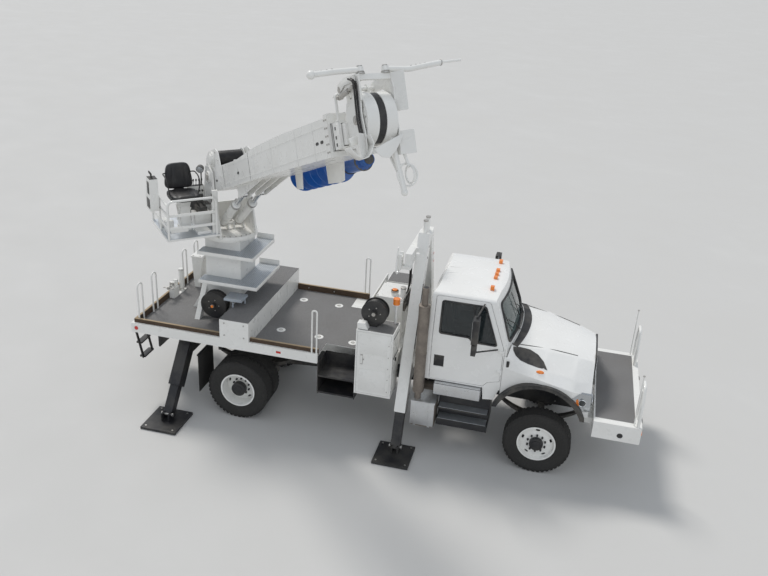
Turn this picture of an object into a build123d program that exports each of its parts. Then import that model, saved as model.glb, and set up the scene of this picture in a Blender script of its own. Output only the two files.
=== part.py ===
from build123d import *
import math
import os

os.makedirs("parts", exist_ok=True)

# Frame: millimetres, +X forward, +Y to the truck's left, +Z up.
# The origin is on the ground, under the middle of the front axle.

# Driving dimensions of the chassis
wheelbase = 5000
tyre_radius = 530
tyre_width = 275
rim_radius = 290
front_tyre_centre = 1028
dual_outer_centre = 1072
dual_inner_centre = 756
kingpin_y = 820
spindle_radius = 40
rear_spindle_radius = 60
running_gap = 0.3
panel_gap = 6

rail_outer = 430
rail_width = 80
rail_bottom = 860
rail_top = 1120
rail_web = 9
frame_rear = -wheelbase - 1850
frame_front = 640

# Body and deck
body_half_width = 1220
deck_rear = -wheelbase - 1890
deck_front = -2980
deck_top = 1450
deck_plate = 12
side_rail_low = 1326
side_rail_high = 1496
side_rail_width = 40
right_rail_front = -3600
left_rail_front = -3370
well_depth = 470
board_top = 1561
board_width = 40
board_clear = 10

box_rear = -wheelbase - 283
box_front = -wheelbase + 224
box_top = 1838

slew_x = -wheelbase - 600
pedestal_half = 318
pedestal_top = 2870

cabinet_rear = -2970
cabinet_front = -2370
cabinet_inner = -760
cabinet_low = 910
cabinet_top = 2060
cabinet_wall = 25
cabinet_hinge_x = -2400
cabinet_hinge_y = -body_half_width - 8

platform_rear = 790
platform_front = 1500
platform_low = 888
platform_top = 1168
platform_wall = 14
tread_plate = 4

# Cab and hood
cab_back = -1870
cab_floor_z = 1280
cab_belt = 2010
cab_roof = 2770
cab_half_width = 1000
cab_roof_half = 868
cab_wall = 55
cowl_x = -640
cowl_bow = 130
cowl_half_width = 940
jamb_x = -674
screen_rake = 0.40
door_front = -694
door_rear = -1800
glass_thickness = 8
hood_wall = 30
hood_low = 1080
hood_form_low = 900
hood_front = 705
arch_x = -50
arch_z = 826
arch_radius = 690
flare_width = 62
hinge_x = 738
hinge_z = 1130
hinge_pin = 12

# Boom and turret
rest_slew = -47.5
rest_lift = 22
ring_radius = 470
ring_top = 2950
pivot_back = 60
pivot_z = 3870
boom_half_width = 280
boom_wall = 22
boom_end = 4900
stage_gap = 8
boom_front_low = -300
middle_rear = 560
middle_front = 5120
tip_rear = 760
head_start = 5140
sheave_a = 5410
sheave_u = 20
sheave_radius = 225
head_radius = 280
guide_hinge_a = 5180
guide_hinge_u = 390
auger_l = 520
auger_u = -300
auger_rear = 1900
auger_front = 3650
auger_radius = 205
auger_pitch = 250
flight_middle = 120
auger_hinge_a = 4060
auger_hinge_u = -90
bracket_low = 76
bracket_top = 120
lift_pin_a = 1150
lift_pin_u = -400
base_pin_h = 0
base_pin_z = 3040
barrel_radius = 70
rod_radius = 40
barrel_length = 980
rod_inner_end = 420

# Outriggers
front_leg_x = -2200
front_leg_foot_y = 1370
front_leg_lean = 21
leg_outer = 200
leg_inner = 150
leg_bore = 162
leg_collar = 161.4
rear_leg_x = -wheelbase - 1070
rear_leg_foot_y = 1700
rear_leg_lean = 38
hitch_z = 730
hitch_radius = 26
hitch_length = 90

parts = []


def keep(made, label, placed=None):
    """Label a finished piece, place it if it was made in another frame, and list it."""
    solid = made.part if placed is None else placed * made.part
    solid.label = label
    parts.append(solid)


def block(x, y, z, mode=Mode.ADD):
    """A box given by its low and high value on each axis."""
    with Locations(((x[0] + x[1]) / 2, (y[0] + y[1]) / 2, (z[0] + z[1]) / 2)):
        Box(x[1] - x[0], y[1] - y[0], z[1] - z[0], mode=mode)


def rod(start, end, radius, mode=Mode.ADD):
    """A round bar from one point to another."""
    run = Vector(*end) - Vector(*start)
    with Locations(Plane(origin=start, z_dir=run).location):
        Cylinder(radius, run.length, align=(Align.CENTER, Align.CENTER, Align.MIN), mode=mode)


def bar(start, end, width, depth, across=(1, 0, 0), mode=Mode.ADD):
    """A square-cut bar between two points; its width lies along the given direction."""
    run = Vector(*end) - Vector(*start)
    with Locations(Plane(origin=start, x_dir=across, z_dir=run).location):
        Box(width, depth, run.length, align=(Align.CENTER, Align.CENTER, Align.MIN), mode=mode)


def plate(outline, low, high, plane=Plane.XZ, mode=Mode.ADD, corner=0):
    """A flat plate: an outline drawn in the given plane, filled between two offsets."""
    with BuildSketch(plane.offset(low)) as face:
        with BuildLine():
            Polyline(*outline, close=True)
        make_face()
        if corner:
            fillet(face.vertices(), corner)
    extrude(face.sketch, amount=high - low, mode=mode)


def side_plate(outline, y_low, y_high, mode=Mode.ADD, corner=0):
    """A plate in the XZ plane between two Y values."""
    plate(outline, -y_high, -y_low, Plane.XZ, mode, corner)


def pipe(points, bends, radius):
    """A bent tube through the given points, filled as a solid round bar."""
    with BuildLine() as path:
        FilletPolyline(*points, radius=bends)
    start = path.wires()[0]
    with BuildSketch(Plane(origin=start @ 0, z_dir=start % 0)) as section:
        Circle(radius)
    sweep(section.sketch, path=path.line)


# Chassis frame: two channel rails with their crossmembers and the outrigger box.
crossmembers = [560, -1400, -2350, -3250, 850 - wheelbase,
                -wheelbase - 650, -wheelbase - 1250, frame_rear + 60]
with BuildPart() as chassis_frame:
    for side in (1, -1):
        web = sorted((side * rail_outer, side * (rail_outer - rail_web)))
        flange = sorted((side * rail_outer, side * (rail_outer - rail_width)))
        block((frame_rear, frame_front), web, (rail_bottom, rail_top))
        block((frame_rear, frame_front), flange, (rail_bottom, rail_bottom + rail_web))
        block((frame_rear, frame_front), flange, (rail_top - rail_web, rail_top))
    inner = rail_outer - rail_web
    for x in crossmembers:
        block((x - 40, x + 40), (-inner, inner), (rail_bottom + 30, rail_top - 30))
keep(chassis_frame, "chassis_frame")


# Axles with their leaf springs.
spring_y = rail_outer - rail_width / 2
spring_reach = 660
with BuildPart() as front_axle:
    block((-55, 55), (-640, 640), (425, 445))
    block((-15, 15), (-640, 640), (445, 500))
    block((-55, 55), (-640, 640), (500, 520))
    for side in (1, -1):
        bar((0, side * 630, 472), (0, side * kingpin_y, 530), 100, 84)
        with Locations((0, side * kingpin_y, 530)):
            Cylinder(50, 136)
            Cylinder(20 + running_gap, 200, mode=Mode.SUBTRACT)
    for side in (1, -1):
        with BuildSketch(Plane.XZ.offset(-side * spring_y)) as leaf:
            with BuildLine():
                ThreePointArc((-680, 835), (0, 610), (620, 835))
                Line((620, 835), (620, 800))
                ThreePointArc((620, 800), (0, 545), (-680, 800))
                Line((-680, 800), (-680, 835))
            make_face()
        extrude(leaf.sketch, amount=42, both=True)
        for x in (-680, 620):
            block((x - 30, x + 30), (side * spring_y - 42, side * spring_y + 42), (795, rail_bottom))
        block((-70, 70), (side * spring_y - 42, side * spring_y + 42), (515, 600))
keep(front_axle, "front_axle")

with BuildPart() as rear_axle:
    with Locations(Location((-wheelbase, 0, tyre_radius), (90, 0, 0))):
        Cylinder(85, 1500)
        Cylinder(rear_spindle_radius, 2 * 1128)
    with Locations((-wheelbase, 0, tyre_radius)):
        Sphere(235)
    rod((-wheelbase, 0, tyre_radius), (-wheelbase + 420, 0, tyre_radius), 95)
    for side in (1, -1):
        with BuildSketch(Plane.XZ.offset(-side * spring_y)) as leaf:
            with BuildLine():
                ThreePointArc((-wheelbase - spring_reach, 830), (-wheelbase, 690),
                              (-wheelbase + spring_reach, 830))
                Line((-wheelbase + spring_reach, 830), (-wheelbase + spring_reach, 795))
                ThreePointArc((-wheelbase + spring_reach, 795), (-wheelbase, 600),
                              (-wheelbase - spring_reach, 795))
                Line((-wheelbase - spring_reach, 795), (-wheelbase - spring_reach, 830))
            make_face()
        extrude(leaf.sketch, amount=42, both=True)
        for x in (-wheelbase - spring_reach, -wheelbase + spring_reach):
            block((x - 30, x + 30), (side * spring_y - 42, side * spring_y + 42), (790, rail_bottom))
        block((-wheelbase - 80, -wheelbase + 80), (side * spring_y - 42, side * spring_y + 42), (590, 640))
keep(rear_axle, "rear_axle")


# Engine block, gearbox and drive shaft.
with BuildPart() as powertrain:
    block((-480, 420), (-315, 315), (900, 1500))
    block((-120, 120), (-400, 400), (rail_top, rail_top + 60))
    block((-1300, -480), (-190, 190), (760, 1110))
    rod((-1300, 0, 800), (-wheelbase + 425, 0, 545), 48)
keep(powertrain, "powertrain")


# Fuel tank on the left rail, below the door.
with BuildPart() as fuel_tank:
    with Locations(Location((-1280, 760, 850), (0, 90, 0))):
        Cylinder(290, 900)
    for x in (-1560, -1000):
        block((x - 30, x + 30), (rail_outer, 520), (700, 1000))
keep(fuel_tank, "fuel_tank")


# Steps: cab steps with the battery box, the deck step wells and the rear ladders.
with BuildPart() as steps:
    block((-1620, -800), (-1090, -rail_outer), (520, 640))
    block((-1620, -800), (-900, -rail_outer), (640, 1060))
    block((-1620, -800), (-1060, -900), (800, 830))
    block((-1710, -960), (-1080, -520), (1060, 1262))
    for side, front in ((-1, right_rail_front), (1, left_rail_front)):
        y_out = side * (body_half_width - 20)
        y_in = side * (body_half_width - well_depth)
        y_all = sorted((y_out, y_in))
        for x in sorted((front, cabinet_rear)):
            inset = 12 if x == front else -12
            edge = sorted((x, x + inset))
            block(edge, y_all, (760, deck_top - 130))
        for z in (780, 1080):
            block((front, cabinet_rear), y_all, (z, z + 30))
        back = sorted((y_in, y_in - side * 12))
        block((front, cabinet_rear), back, (760, deck_top - 130))
    for side in (-1, 1):
        near, far = body_half_width - 390, body_half_width - 90
        for y in (near, far):
            bar((deck_rear + 22, side * y, side_rail_low - 6), (deck_rear + 130, side * y, 800),
                50, 14, (0, 1, 0))
            block((deck_rear + 8, deck_rear + 38), (side * y - 25, side * y + 25),
                  (side_rail_low - 12, side_rail_low))
        for z, x in ((1080, deck_rear + 75), (820, deck_rear + 120)):
            block((x - 60, x + 40), sorted((side * near, side * far)), (z - 15, z + 15))
keep(steps, "steps")


# Exhaust: muffler box, stack and heat shield.
with BuildPart() as exhaust:
    with BuildSketch(Plane.XY.offset(500)) as box:
        with Locations((-1835, -1000)):
            RectangleRounded(390, 400, 60)
    extrude(box.sketch, amount=450)
    block((-1990, -1680), (-810, -rail_outer), (860, 900))
    rod((-1945, -1090, 950), (-1945, -1090, 2880), 50)
    rod((-1945, -1090, 1080), (-1945, -1090, 2570), 88)
    block((-1960, -1930), (-1010, -890), (1500, 1560))
keep(exhaust, "exhaust")


def cab_form(inset):
    """The cab's outer body, drawn in from its faces by the given distance."""
    half = cab_half_width - inset
    top_half = cab_roof_half - inset
    roof = cab_roof - inset
    back = cab_back + inset
    front = cowl_x - inset
    cowl = cowl_half_width - inset
    with BuildPart(mode=Mode.PRIVATE) as form:
        with BuildSketch(Plane.XY.offset(cab_floor_z + inset)) as plan:
            with BuildLine():
                Polyline((front, cowl), (jamb_x, cowl), (jamb_x, half), (back, half), (back, -half),
                         (jamb_x, -half), (jamb_x, -cowl), (front, -cowl))
                ThreePointArc((front, -cowl), (front + cowl_bow, 0), (front, cowl))
            make_face()
        extrude(plan.sketch, amount=cab_belt - cab_floor_z - inset)
        rake = Vector(-screen_rake, 0, 1)
        with BuildSketch(Plane.XY.offset(cab_belt)) as waist:
            with BuildLine():
                Line((back - 900, half), (back - 900, -half))
                Line((back - 900, -half), (front, -half))
                ThreePointArc((front, -half), (front + cowl_bow, 0), (front, half))
                Line((front, half), (back - 900, half))
            make_face()
        extrude(waist.sketch, amount=(roof - cab_belt + 200) * rake.length, dir=rake)
        with BuildSketch(Plane.YZ.offset(-4000)) as end_view:
            with BuildLine():
                Polyline((half, cab_floor_z - 50), (half, cab_belt), (top_half, roof - 40))
                ThreePointArc((top_half, roof - 40), (0, roof + 40), (-top_half, roof - 40))
                Polyline((-top_half, roof - 40), (-half, cab_belt), (-half, cab_floor_z - 50))
                Line((-half, cab_floor_z - 50), (half, cab_floor_z - 50))
            make_face()
            fillet(end_view.vertices().group_by(Axis.Y)[-1], 70)
        extrude(end_view.sketch, amount=5000, mode=Mode.INTERSECT)
        with BuildSketch(Plane.XZ.offset(-1300)) as side_view:
            with BuildLine():
                Polyline((back, cab_floor_z - 50), (back, roof - 60), (back + 60, roof),
                         (-1250, roof + 45), (-900, roof + 20), (300, roof - 300),
                         (300, cab_floor_z - 50), close=True)
            make_face()
        extrude(side_view.sketch, amount=2600, mode=Mode.INTERSECT)
    return form.part


# Openings in the cab, as outlines in the XZ plane and in the YZ plane.
door_outline = [(door_rear, 1300), (-950, 1312), (-880, 1390), (door_front, 1440), (door_front, 2012),
                (-975, 2690), (door_rear, 2690)]
door_window = [(-1700, 2110), (-1230, 2105), (-1180, 2040), (-800, 2040), (-1035, 2620), (-1700, 2620)]
screen_outline = [(-860, 2075), (860, 2075), (745, 2640), (-745, 2640)]
rear_window = [(-420, 2120), (420, 2120), (420, 2500), (-420, 2500)]


def grown(outline, by):
    """An outline's face, offset outward by the given distance."""
    with BuildSketch(Plane.XZ, mode=Mode.PRIVATE) as face:
        with BuildLine():
            Polyline(*outline, close=True)
        make_face()
        fillet(face.vertices(), 35)
        if by:
            offset(amount=by, kind=Kind.INTERSECTION)
    return face.sketch


with BuildPart() as cab_shell:
    add(cab_form(0))
    add(cab_form(cab_wall), mode=Mode.SUBTRACT)
    extrude(grown(door_outline, panel_gap), amount=1300, both=True, mode=Mode.SUBTRACT)
    plate(screen_outline, -1000, 0, Plane.YZ, Mode.SUBTRACT, 60)
    plate(rear_window, cab_back - 100, cab_back + 200, Plane.YZ, Mode.SUBTRACT, 50)
    block((cab_back + 60, -700), (-cab_half_width + cab_wall, cab_half_width - cab_wall),
          (cab_floor_z + 20, cab_floor_z + 75))
    for side in (1, -1):
        block((cab_back + 200, -900), sorted((side * (rail_outer - 60), side * rail_outer)),
              (rail_top, cab_floor_z + 10))
    for side in (1, -1):
        skirt = [(door_front + panel_gap, 1440 - panel_gap), (-876, 1378), (-950, 1300), (-925, 1075),
                 (-760, 1095), (-700, 1260)]
        side_plate(skirt, *sorted((side * 960, side * 1000)))
        for z in (1560, 1900):
            rod((door_front - 2, side * 1012, z), (door_front - 2, side * 1012, z + 40), 9)
            block((door_front - 2, jamb_x), sorted((side * 1003, side * 1020)), (z, z + 40))
            block((door_front + panel_gap + 2, jamb_x), sorted((side * 990, side * 1005)), (z, z + 40))
keep(cab_shell, "cab_shell")

with BuildPart() as cab_glass:
    add(cab_form(14))
    add(cab_form(14 + glass_thickness), mode=Mode.SUBTRACT)
    with BuildPart(mode=Mode.PRIVATE) as sight:
        plate(screen_outline, -1000, 0, Plane.YZ, Mode.ADD, 60)
        plate(rear_window, cab_back - 100, cab_back + 200, Plane.YZ, Mode.ADD, 50)
    add(sight.part, mode=Mode.INTERSECT)
keep(cab_glass, "cab_glass")

# Cab interior: dashboard, wheel and the two seats.
with BuildPart() as cab_interior:
    floor = cab_floor_z + 75
    block((-820, -720), (-870, 870), (1700, 1990))
    block((-1000, -820), (-900, 900), (1780, 1960))
    block((-790, -720), (-870, 870), (floor, 1700))
    with Locations(Location((-1090, 470, 1990), (0, -35, 0))):
        Torus(200, 16)
        Box(26, 380, 14)
        Cylinder(24, 160, align=(Align.CENTER, Align.CENTER, Align.MAX))
    for y in (-450, 450):
        block((-1640, -1210), (y - 250, y + 250), (floor, floor + 300))
        block((-1660, -1200), (y - 260, y + 260), (floor + 300, floor + 430))
        bar((-1610, y, floor + 420), (-1720, y, floor + 1090), 460, 110, (0, 1, 0))
keep(cab_interior, "cab_interior")

# Doors with their mirrors, and the door glass.
for side, name in ((-1, "right"), (1, "left")):
    reach = sorted((side * 780, side * 1100))
    with BuildPart() as door:
        add(cab_form(0))
        add(cab_form(cab_wall), mode=Mode.SUBTRACT)
        extrude(grown(door_outline, 0), amount=1300, both=True, mode=Mode.INTERSECT)
        block((-3000, 0), reach, (1000, 3000), Mode.INTERSECT)
        between_walls = (-cab_half_width + cab_wall, cab_half_width - cab_wall)
        block((-3000, 0), between_walls, (1200, 1420), Mode.SUBTRACT)
        block((-720, 0), between_walls, (1200, cab_belt + 3), Mode.SUBTRACT)
        extrude(grown(door_window, 0), amount=1300, both=True, mode=Mode.SUBTRACT)
        block((-1750, -1590), sorted((side * 985, side * 1010)), (1530, 1730), Mode.SUBTRACT)
        for z in (1560, 1900):
            rod((door_front - 2, side * 1012, z + 40.3), (door_front - 2, side * 1012, z + 80), 9)
            block((door_front - 60, door_front - 2), sorted((side * 995, side * 1020)), (z + 40.3, z + 80))
        mirror_y = side * 1350
        rod((-780, side * 990, 1985), (-1110, mirror_y, 2060), 12)
        rod((-1060, side * 868, 2655), (-1110, mirror_y, 2640), 12)
        rod((-1110, mirror_y, 2030), (-1110, mirror_y, 2660), 12)
        block((-1150, -1070), sorted((mirror_y - 95, mirror_y + 95)), (2240, 2620))
        block((-1140, -1080), sorted((mirror_y - 90, mirror_y + 90)), (2050, 2210))
    keep(door, "door_" + name)
    with BuildPart() as pane:
        add(cab_form(20))
        add(cab_form(20 + glass_thickness), mode=Mode.SUBTRACT)
        extrude(grown(door_window, 0), amount=1300, both=True, mode=Mode.INTERSECT)
        block((-3000, 0), reach, (1000, 3000), Mode.INTERSECT)
    keep(pane, "door_glass_" + name)


# Hood sections: station x, then half width and height of sill, side, shoulder and top edge, and crown.
hood_sections = [
    # x, sill_y, side_y, side_z, shoulder_y, shoulder_z, top_y, top_z, crown_z
    (-690, 1000, 990, 1690, 955, 1860, 830, 2010, 2075),
    (-50, 1130, 1120, 1640, 1010, 1760, 700, 1960, 2020),
    (430, 1120, 1090, 1520, 960, 1650, 600, 1860, 1925),
    (hood_front, 1020, 960, 1440, 800, 1560, 500, 1790, 1850),
]


def hood_form(inset):
    """The hood's body lofted through its sections, drawn in by the given distance."""
    with BuildPart(mode=Mode.PRIVATE) as form:
        for x, sill, side_y, side_z, sh_y, sh_z, top_y, top_z, crown in hood_sections:
            station = x - inset if x == hood_front else x
            with BuildSketch(Plane.YZ.offset(station)):
                with BuildLine():
                    right = [(sill - inset, hood_form_low), (sill - inset, hood_low),
                             (side_y - inset, side_z - inset / 2), (sh_y - inset, sh_z - inset),
                             (top_y - inset / 2, top_z - inset)]
                    Polyline(*right)
                    ThreePointArc(right[-1], (0, crown - inset), (-right[-1][0], right[-1][1]))
                    Polyline(*[(-y, z) for y, z in reversed(right)])
                    Line((-right[0][0], hood_form_low), right[0])
                make_face()
        loft(ruled=True)
    return form.part


def cowl_clear(gap):
    """The space of the cab's front, grown forward by a gap, to trim the hood."""
    front = cowl_x + gap
    cowl = cowl_half_width + gap
    side_x = jamb_x + panel_gap
    with BuildPart(mode=Mode.PRIVATE) as space:
        with BuildSketch(Plane.XY.offset(900)):
            with BuildLine():
                Polyline((front, cowl), (side_x, cowl), (side_x, 1400), (-2000, 1400), (-2000, -1400),
                         (side_x, -1400), (side_x, -cowl), (front, -cowl))
                ThreePointArc((front, -cowl), (front + cowl_bow, 0), (front, cowl))
            make_face()
        extrude(amount=1500)
    return space.part


with BuildPart() as hood:
    add(hood_form(0))
    add(hood_form(hood_wall), mode=Mode.SUBTRACT)
    add(cowl_clear(14), mode=Mode.SUBTRACT)
    block((-2000, 2000), (-1500, 1500), (800, hood_low), Mode.SUBTRACT)
    with Locations(Location((arch_x, 0, arch_z), (90, 0, 0))):
        Cylinder(arch_radius, 3000, mode=Mode.SUBTRACT)
    block((-2000, arch_x), (-1500, 1500), (900, 1120), Mode.SUBTRACT)
    block((hood_front - 60, hood_front + 20), (-520, 520), (1000, 1140), Mode.SUBTRACT)
    for side in (1, -1):
        block((640, 690), sorted((side * 440, side * 520)), (1060, 1160))
        block((640, hinge_x + 20), sorted((side * 462, side * 500)), (hinge_z - 20, hinge_z + 20))
        rod((hinge_x, side * 440, hinge_z), (hinge_x, side * 520, hinge_z), hinge_pin + running_gap,
            Mode.SUBTRACT)
keep(hood, "hood")

with BuildPart() as grille:
    frame = [(-490, 1500), (490, 1500), (440, 1830), (-440, 1830)]
    plate(frame, hood_front, hood_front + 28, Plane.YZ, Mode.ADD, 40)
    slots = [(1538, 455), (1596, 447), (1654, 438), (1712, 430), (1770, 421)]
    for z, half in slots:
        block((hood_front + 10, hood_front + 40), (-half + 20, half - 20), (z - 20, z + 20), Mode.SUBTRACT)
    block((hood_front, hood_front + 22), (-520, 520), (1180, 1440))
keep(grille, "grille")

with BuildPart() as headlamps:
    lamp = [(400, 1190), (hood_front + 30, 1190), (hood_front + 30, 1450), (560, 1500), (400, 1400)]
    with BuildPart(mode=Mode.PRIVATE) as region:
        side_plate(lamp, 700, 1300)
        side_plate(lamp, -1300, -700)
    with BuildPart(mode=Mode.PRIVATE) as lens:
        add(hood_form(-14))
        add(hood_form(0), mode=Mode.SUBTRACT)
        add(region.part, mode=Mode.INTERSECT)
        with Locations(Location((arch_x, 0, arch_z), (90, 0, 0))):
            Cylinder(arch_radius + flare_width + panel_gap, 3000, mode=Mode.SUBTRACT)
    add(lens.part)
keep(headlamps, "headlamps")

with BuildPart() as fender_flares:
    with BuildSketch(Plane.XZ.offset(-1172)) as ring:
        with Locations((arch_x, arch_z)):
            Circle(arch_radius + flare_width)
            Circle(arch_radius, mode=Mode.SUBTRACT)
        with Locations((arch_x, 80)):
            Rectangle(2000, 2000, mode=Mode.SUBTRACT)
    extrude(ring.sketch, amount=112)
    with BuildSketch(Plane.XZ.offset(1060)) as ring_right:
        with Locations((arch_x, arch_z)):
            Circle(arch_radius + flare_width)
            Circle(arch_radius, mode=Mode.SUBTRACT)
        with Locations((arch_x, 80)):
            Rectangle(2000, 2000, mode=Mode.SUBTRACT)
    extrude(ring_right.sketch, amount=112)
    add(hood_form(0), mode=Mode.SUBTRACT)
keep(fender_flares, "fender_flares")


# Front platform on its brackets.
with BuildPart() as front_platform:
    block((platform_rear, platform_front), (-body_half_width, body_half_width), (platform_low, platform_top))
    block((platform_rear + platform_wall, platform_front - platform_wall),
          (-body_half_width + platform_wall, body_half_width - platform_wall),
          (platform_low - 10, platform_top - platform_wall), Mode.SUBTRACT)
    with Locations(Location((1200, 0, 985), (90, 0, 0))):
        Cylinder(45, 3000, mode=Mode.SUBTRACT)
    for side in (1, -1):
        rail = sorted((side * (rail_outer - rail_width), side * rail_outer))
        block((frame_front, platform_front - platform_wall), rail, (platform_low + 20, platform_top - 60))
        block((frame_front, platform_rear + 40), sorted((side * 520, side * 860)), (900, 1000))
        block((frame_front, frame_front + 60), sorted((side * rail_outer, side * 860)), (900, 1000))
        side_plate([(712, 1000), (800, 1000), (hinge_x + 24, hinge_z + 20), (hinge_x - 20, hinge_z + 20)],
                   *sorted((side * 525, side * 540)))
        rod((hinge_x, side * 455, hinge_z), (hinge_x, side * 530, hinge_z), hinge_pin)
    block((platform_front, platform_front + 40), (-60, 60), (910, 1030))
    block((platform_rear + 20, platform_front - 95), (-body_half_width + 120, body_half_width - 120),
          (platform_top, platform_top + tread_plate))
keep(front_platform, "front_platform")

# Rails, guards and grab handles.
with BuildPart() as grab_rails:
    guard_x = platform_front - 60
    for side in (1, -1):
        out = side * (body_half_width - 40)
        pipe([(guard_x, out, platform_top), (guard_x, out, platform_top + 330),
              (guard_x, out - side * 120, platform_top + 620),
              (guard_x, out - side * 320, platform_top + 620),
              (guard_x, out - side * 400, platform_top + 300),
              (guard_x, out - side * 400, platform_top)], 60, 24)
        block((guard_x - 12, guard_x + 12), sorted((out - side * 220, out - side * 360)),
              (platform_top, platform_top + 480))
        rod((guard_x - 60, out - side * 20, platform_top),
            (guard_x - 60, out - side * 20, platform_top + 860), 9)
    x = deck_rear + 102
    handle_y = body_half_width - 175
    for y in (-handle_y, -570, 570, handle_y):
        pipe([(x, y - 75, deck_top), (x, y - 75, 2165), (x, y + 75, 2165), (x, y + 75, deck_top)], 70, 15)
    for side, x in ((-1, right_rail_front - 100), (1, left_rail_front - 100)):
        y = side * (body_half_width - side_rail_width / 2)
        pipe([(x, y, side_rail_high), (x, y, 2250), (x + 80, y, 2250), (x + 80, y, side_rail_high)], 36, 14)
keep(grab_rails, "grab_rails")


# Deck: plate, side rails, sills and cross bearers.
with BuildPart() as deck:
    block((deck_rear, deck_front), (-body_half_width, body_half_width), (deck_top - deck_plate, deck_top))
    for side, front in ((-1, right_rail_front), (1, left_rail_front)):
        block((front, deck_front + 10),
              sorted((side * (body_half_width - well_depth - 12), side * (body_half_width + 80))),
              (deck_top - 30, deck_top + 10), Mode.SUBTRACT)
        edge = sorted((side * body_half_width, side * (body_half_width - side_rail_width)))
        block((deck_rear, front), edge, (side_rail_low, side_rail_high))
    block((deck_rear, deck_rear + side_rail_width), (-body_half_width, body_half_width),
          (side_rail_low, side_rail_high))
    for side in (1, -1):
        block((deck_rear + 60, deck_front - 20), sorted((side * 350, side * 430)), (rail_top, 1330))
    x = deck_rear + side_rail_width
    while x < right_rail_front - 60:
        block((x, x + 60), (-body_half_width + 40, body_half_width - 40), (1330, deck_top - deck_plate))
        x += 540
keep(deck, "deck")

with BuildPart() as deck_boards:
    y_out = body_half_width - side_rail_width
    y_in = y_out - board_width
    runs = [(-1, deck_rear + side_rail_width, box_rear - board_clear),
            (-1, box_front + board_clear, right_rail_front),
            (1, deck_rear + side_rail_width, box_rear - board_clear),
            (1, box_front + board_clear, left_rail_front)]
    for side, x0, x1 in runs:
        block((x0, x1), sorted((side * y_in, side * y_out)), (deck_top, board_top))
    block((deck_rear + side_rail_width, deck_rear + side_rail_width + board_width), (-y_in, y_in),
          (deck_top, board_top))
keep(deck_boards, "deck_boards")


# Pedestal post with the cross box in front of it.
with BuildPart() as pedestal:
    block((slew_x - pedestal_half, slew_x + pedestal_half), (-pedestal_half, pedestal_half),
          (deck_top, pedestal_top))
    block((box_rear, box_front), (-body_half_width, body_half_width), (side_rail_high, box_top))
    block((box_rear, box_front), (-body_half_width + 90, body_half_width - 90), (deck_top, side_rail_high))
    for y in (-200, 200):
        side_plate([(slew_x - pedestal_half, deck_top), (slew_x - pedestal_half - 330, deck_top),
                    (slew_x - pedestal_half, 2040)], y - 15, y + 15)
    for side in (-1, 1):
        brace = [(side * 660, deck_top), (side * 520, deck_top), (side * 250, 1880), (side * 250, 2060)]
        plate(brace[::side],
              slew_x - pedestal_half - 90, slew_x - pedestal_half, Plane.YZ)
    with Locations((slew_x, 0, pedestal_top - 20)):
        Cylinder(ring_radius - 30, 40 - running_gap, align=(Align.CENTER, Align.CENTER, Align.MIN))
keep(pedestal, "pedestal")

# Aluminium treads that wrap the post's right and front faces.
treads = [
    # z, side wing from x, outer y, front wing to x, to y
    (2680, slew_x - 350, -560, slew_x + 640, 420),
    (2160, slew_x - 350, -560, slew_x + 700, 520),
]
with BuildPart() as pedestal_steps:
    for z, x0, y0, x1, y1 in treads:
        block((x0, x1), (y0, -pedestal_half), (z - 50, z))
        block((slew_x + pedestal_half, x1), (-pedestal_half, y1), (z - 50, z))
    block((slew_x + 205, slew_x + 520), (-780, -500), (1960, 2000))
    rod((slew_x + 350, -740, box_top), (slew_x + 350, -740, 1960), 14)
    rod((slew_x + 480, -540, box_top), (slew_x + 480, -540, 1960), 14)
keep(pedestal_steps, "pedestal_steps")

# Vise, socket post and sloping pole rest along the tail board.
tool_x = deck_rear + 140
rest_side = [(deck_rear + 290, deck_top), (deck_rear + 390, deck_top),
             (deck_rear + 470, 2060), (deck_rear + 250, 2060)]
with BuildPart() as tail_tools:
    block((tool_x - 50, tool_x + 50), (-40, 140), (deck_top, 1640))
    for y in (-10, 110):
        block((tool_x - 40, tool_x + 40), (y - 20, y + 20), (1640, 1760))
    rod((tool_x, -90, 1700), (tool_x, 170, 1700), 16)
    block((tool_x - 60, tool_x + 60), (140, 420), (deck_top, deck_top + 20))
    rod((tool_x, 330, deck_top), (tool_x, 330, 1890), 42)
    for y in (560, 860):
        side_plate(rest_side, y, y + 15)
    block((deck_rear + 250, deck_rear + 470), (520, 915), (2060, 2080))
    rod((deck_rear + 360, 575, 1900), (deck_rear + 360, 860, 1900), 20)
keep(tail_tools, "tail_tools")


# Tool cabinets behind the outrigger, the right one with a door.
with BuildPart() as cabinet:
    for side in (-1, 1):
        y_all = sorted((side * body_half_width, side * -cabinet_inner))
        block((cabinet_rear, cabinet_front), y_all, (cabinet_low, cabinet_top))
    block((cabinet_rear + cabinet_wall, cabinet_front - cabinet_wall),
          (-body_half_width - 10, cabinet_inner - cabinet_wall),
          (cabinet_low + cabinet_wall, cabinet_top - cabinet_wall), Mode.SUBTRACT)
    block((cabinet_rear + cabinet_wall, cabinet_front - cabinet_wall),
          (-body_half_width + 50, cabinet_inner - cabinet_wall), (1470, 1490))
    block((cabinet_rear, cabinet_front), (cabinet_inner, -cabinet_inner), (deck_top, deck_top + 60))
    block((cabinet_rear, cabinet_rear + 20), (cabinet_inner, -cabinet_inner), (deck_top, cabinet_top + 150))
    for side in (1, -1):
        block((cabinet_rear, cabinet_front), sorted((side * 350, side * 430)), (rail_top, deck_top))
        block((cabinet_rear + 100, cabinet_rear + 160), sorted((side * 430, side * 760)), (1200, 1280))
        block((cabinet_front - 160, cabinet_front - 100), sorted((side * 430, side * 760)), (1200, 1280))
    for low in (950, 1900 + running_gap):
        high = low + 50 - running_gap
        rod((cabinet_hinge_x, cabinet_hinge_y, low), (cabinet_hinge_x, cabinet_hinge_y, high), 7.9)
        block((cabinet_hinge_x, cabinet_front), (cabinet_hinge_y - 7, -body_half_width), (low, high))
keep(cabinet, "cabinet")

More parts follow.
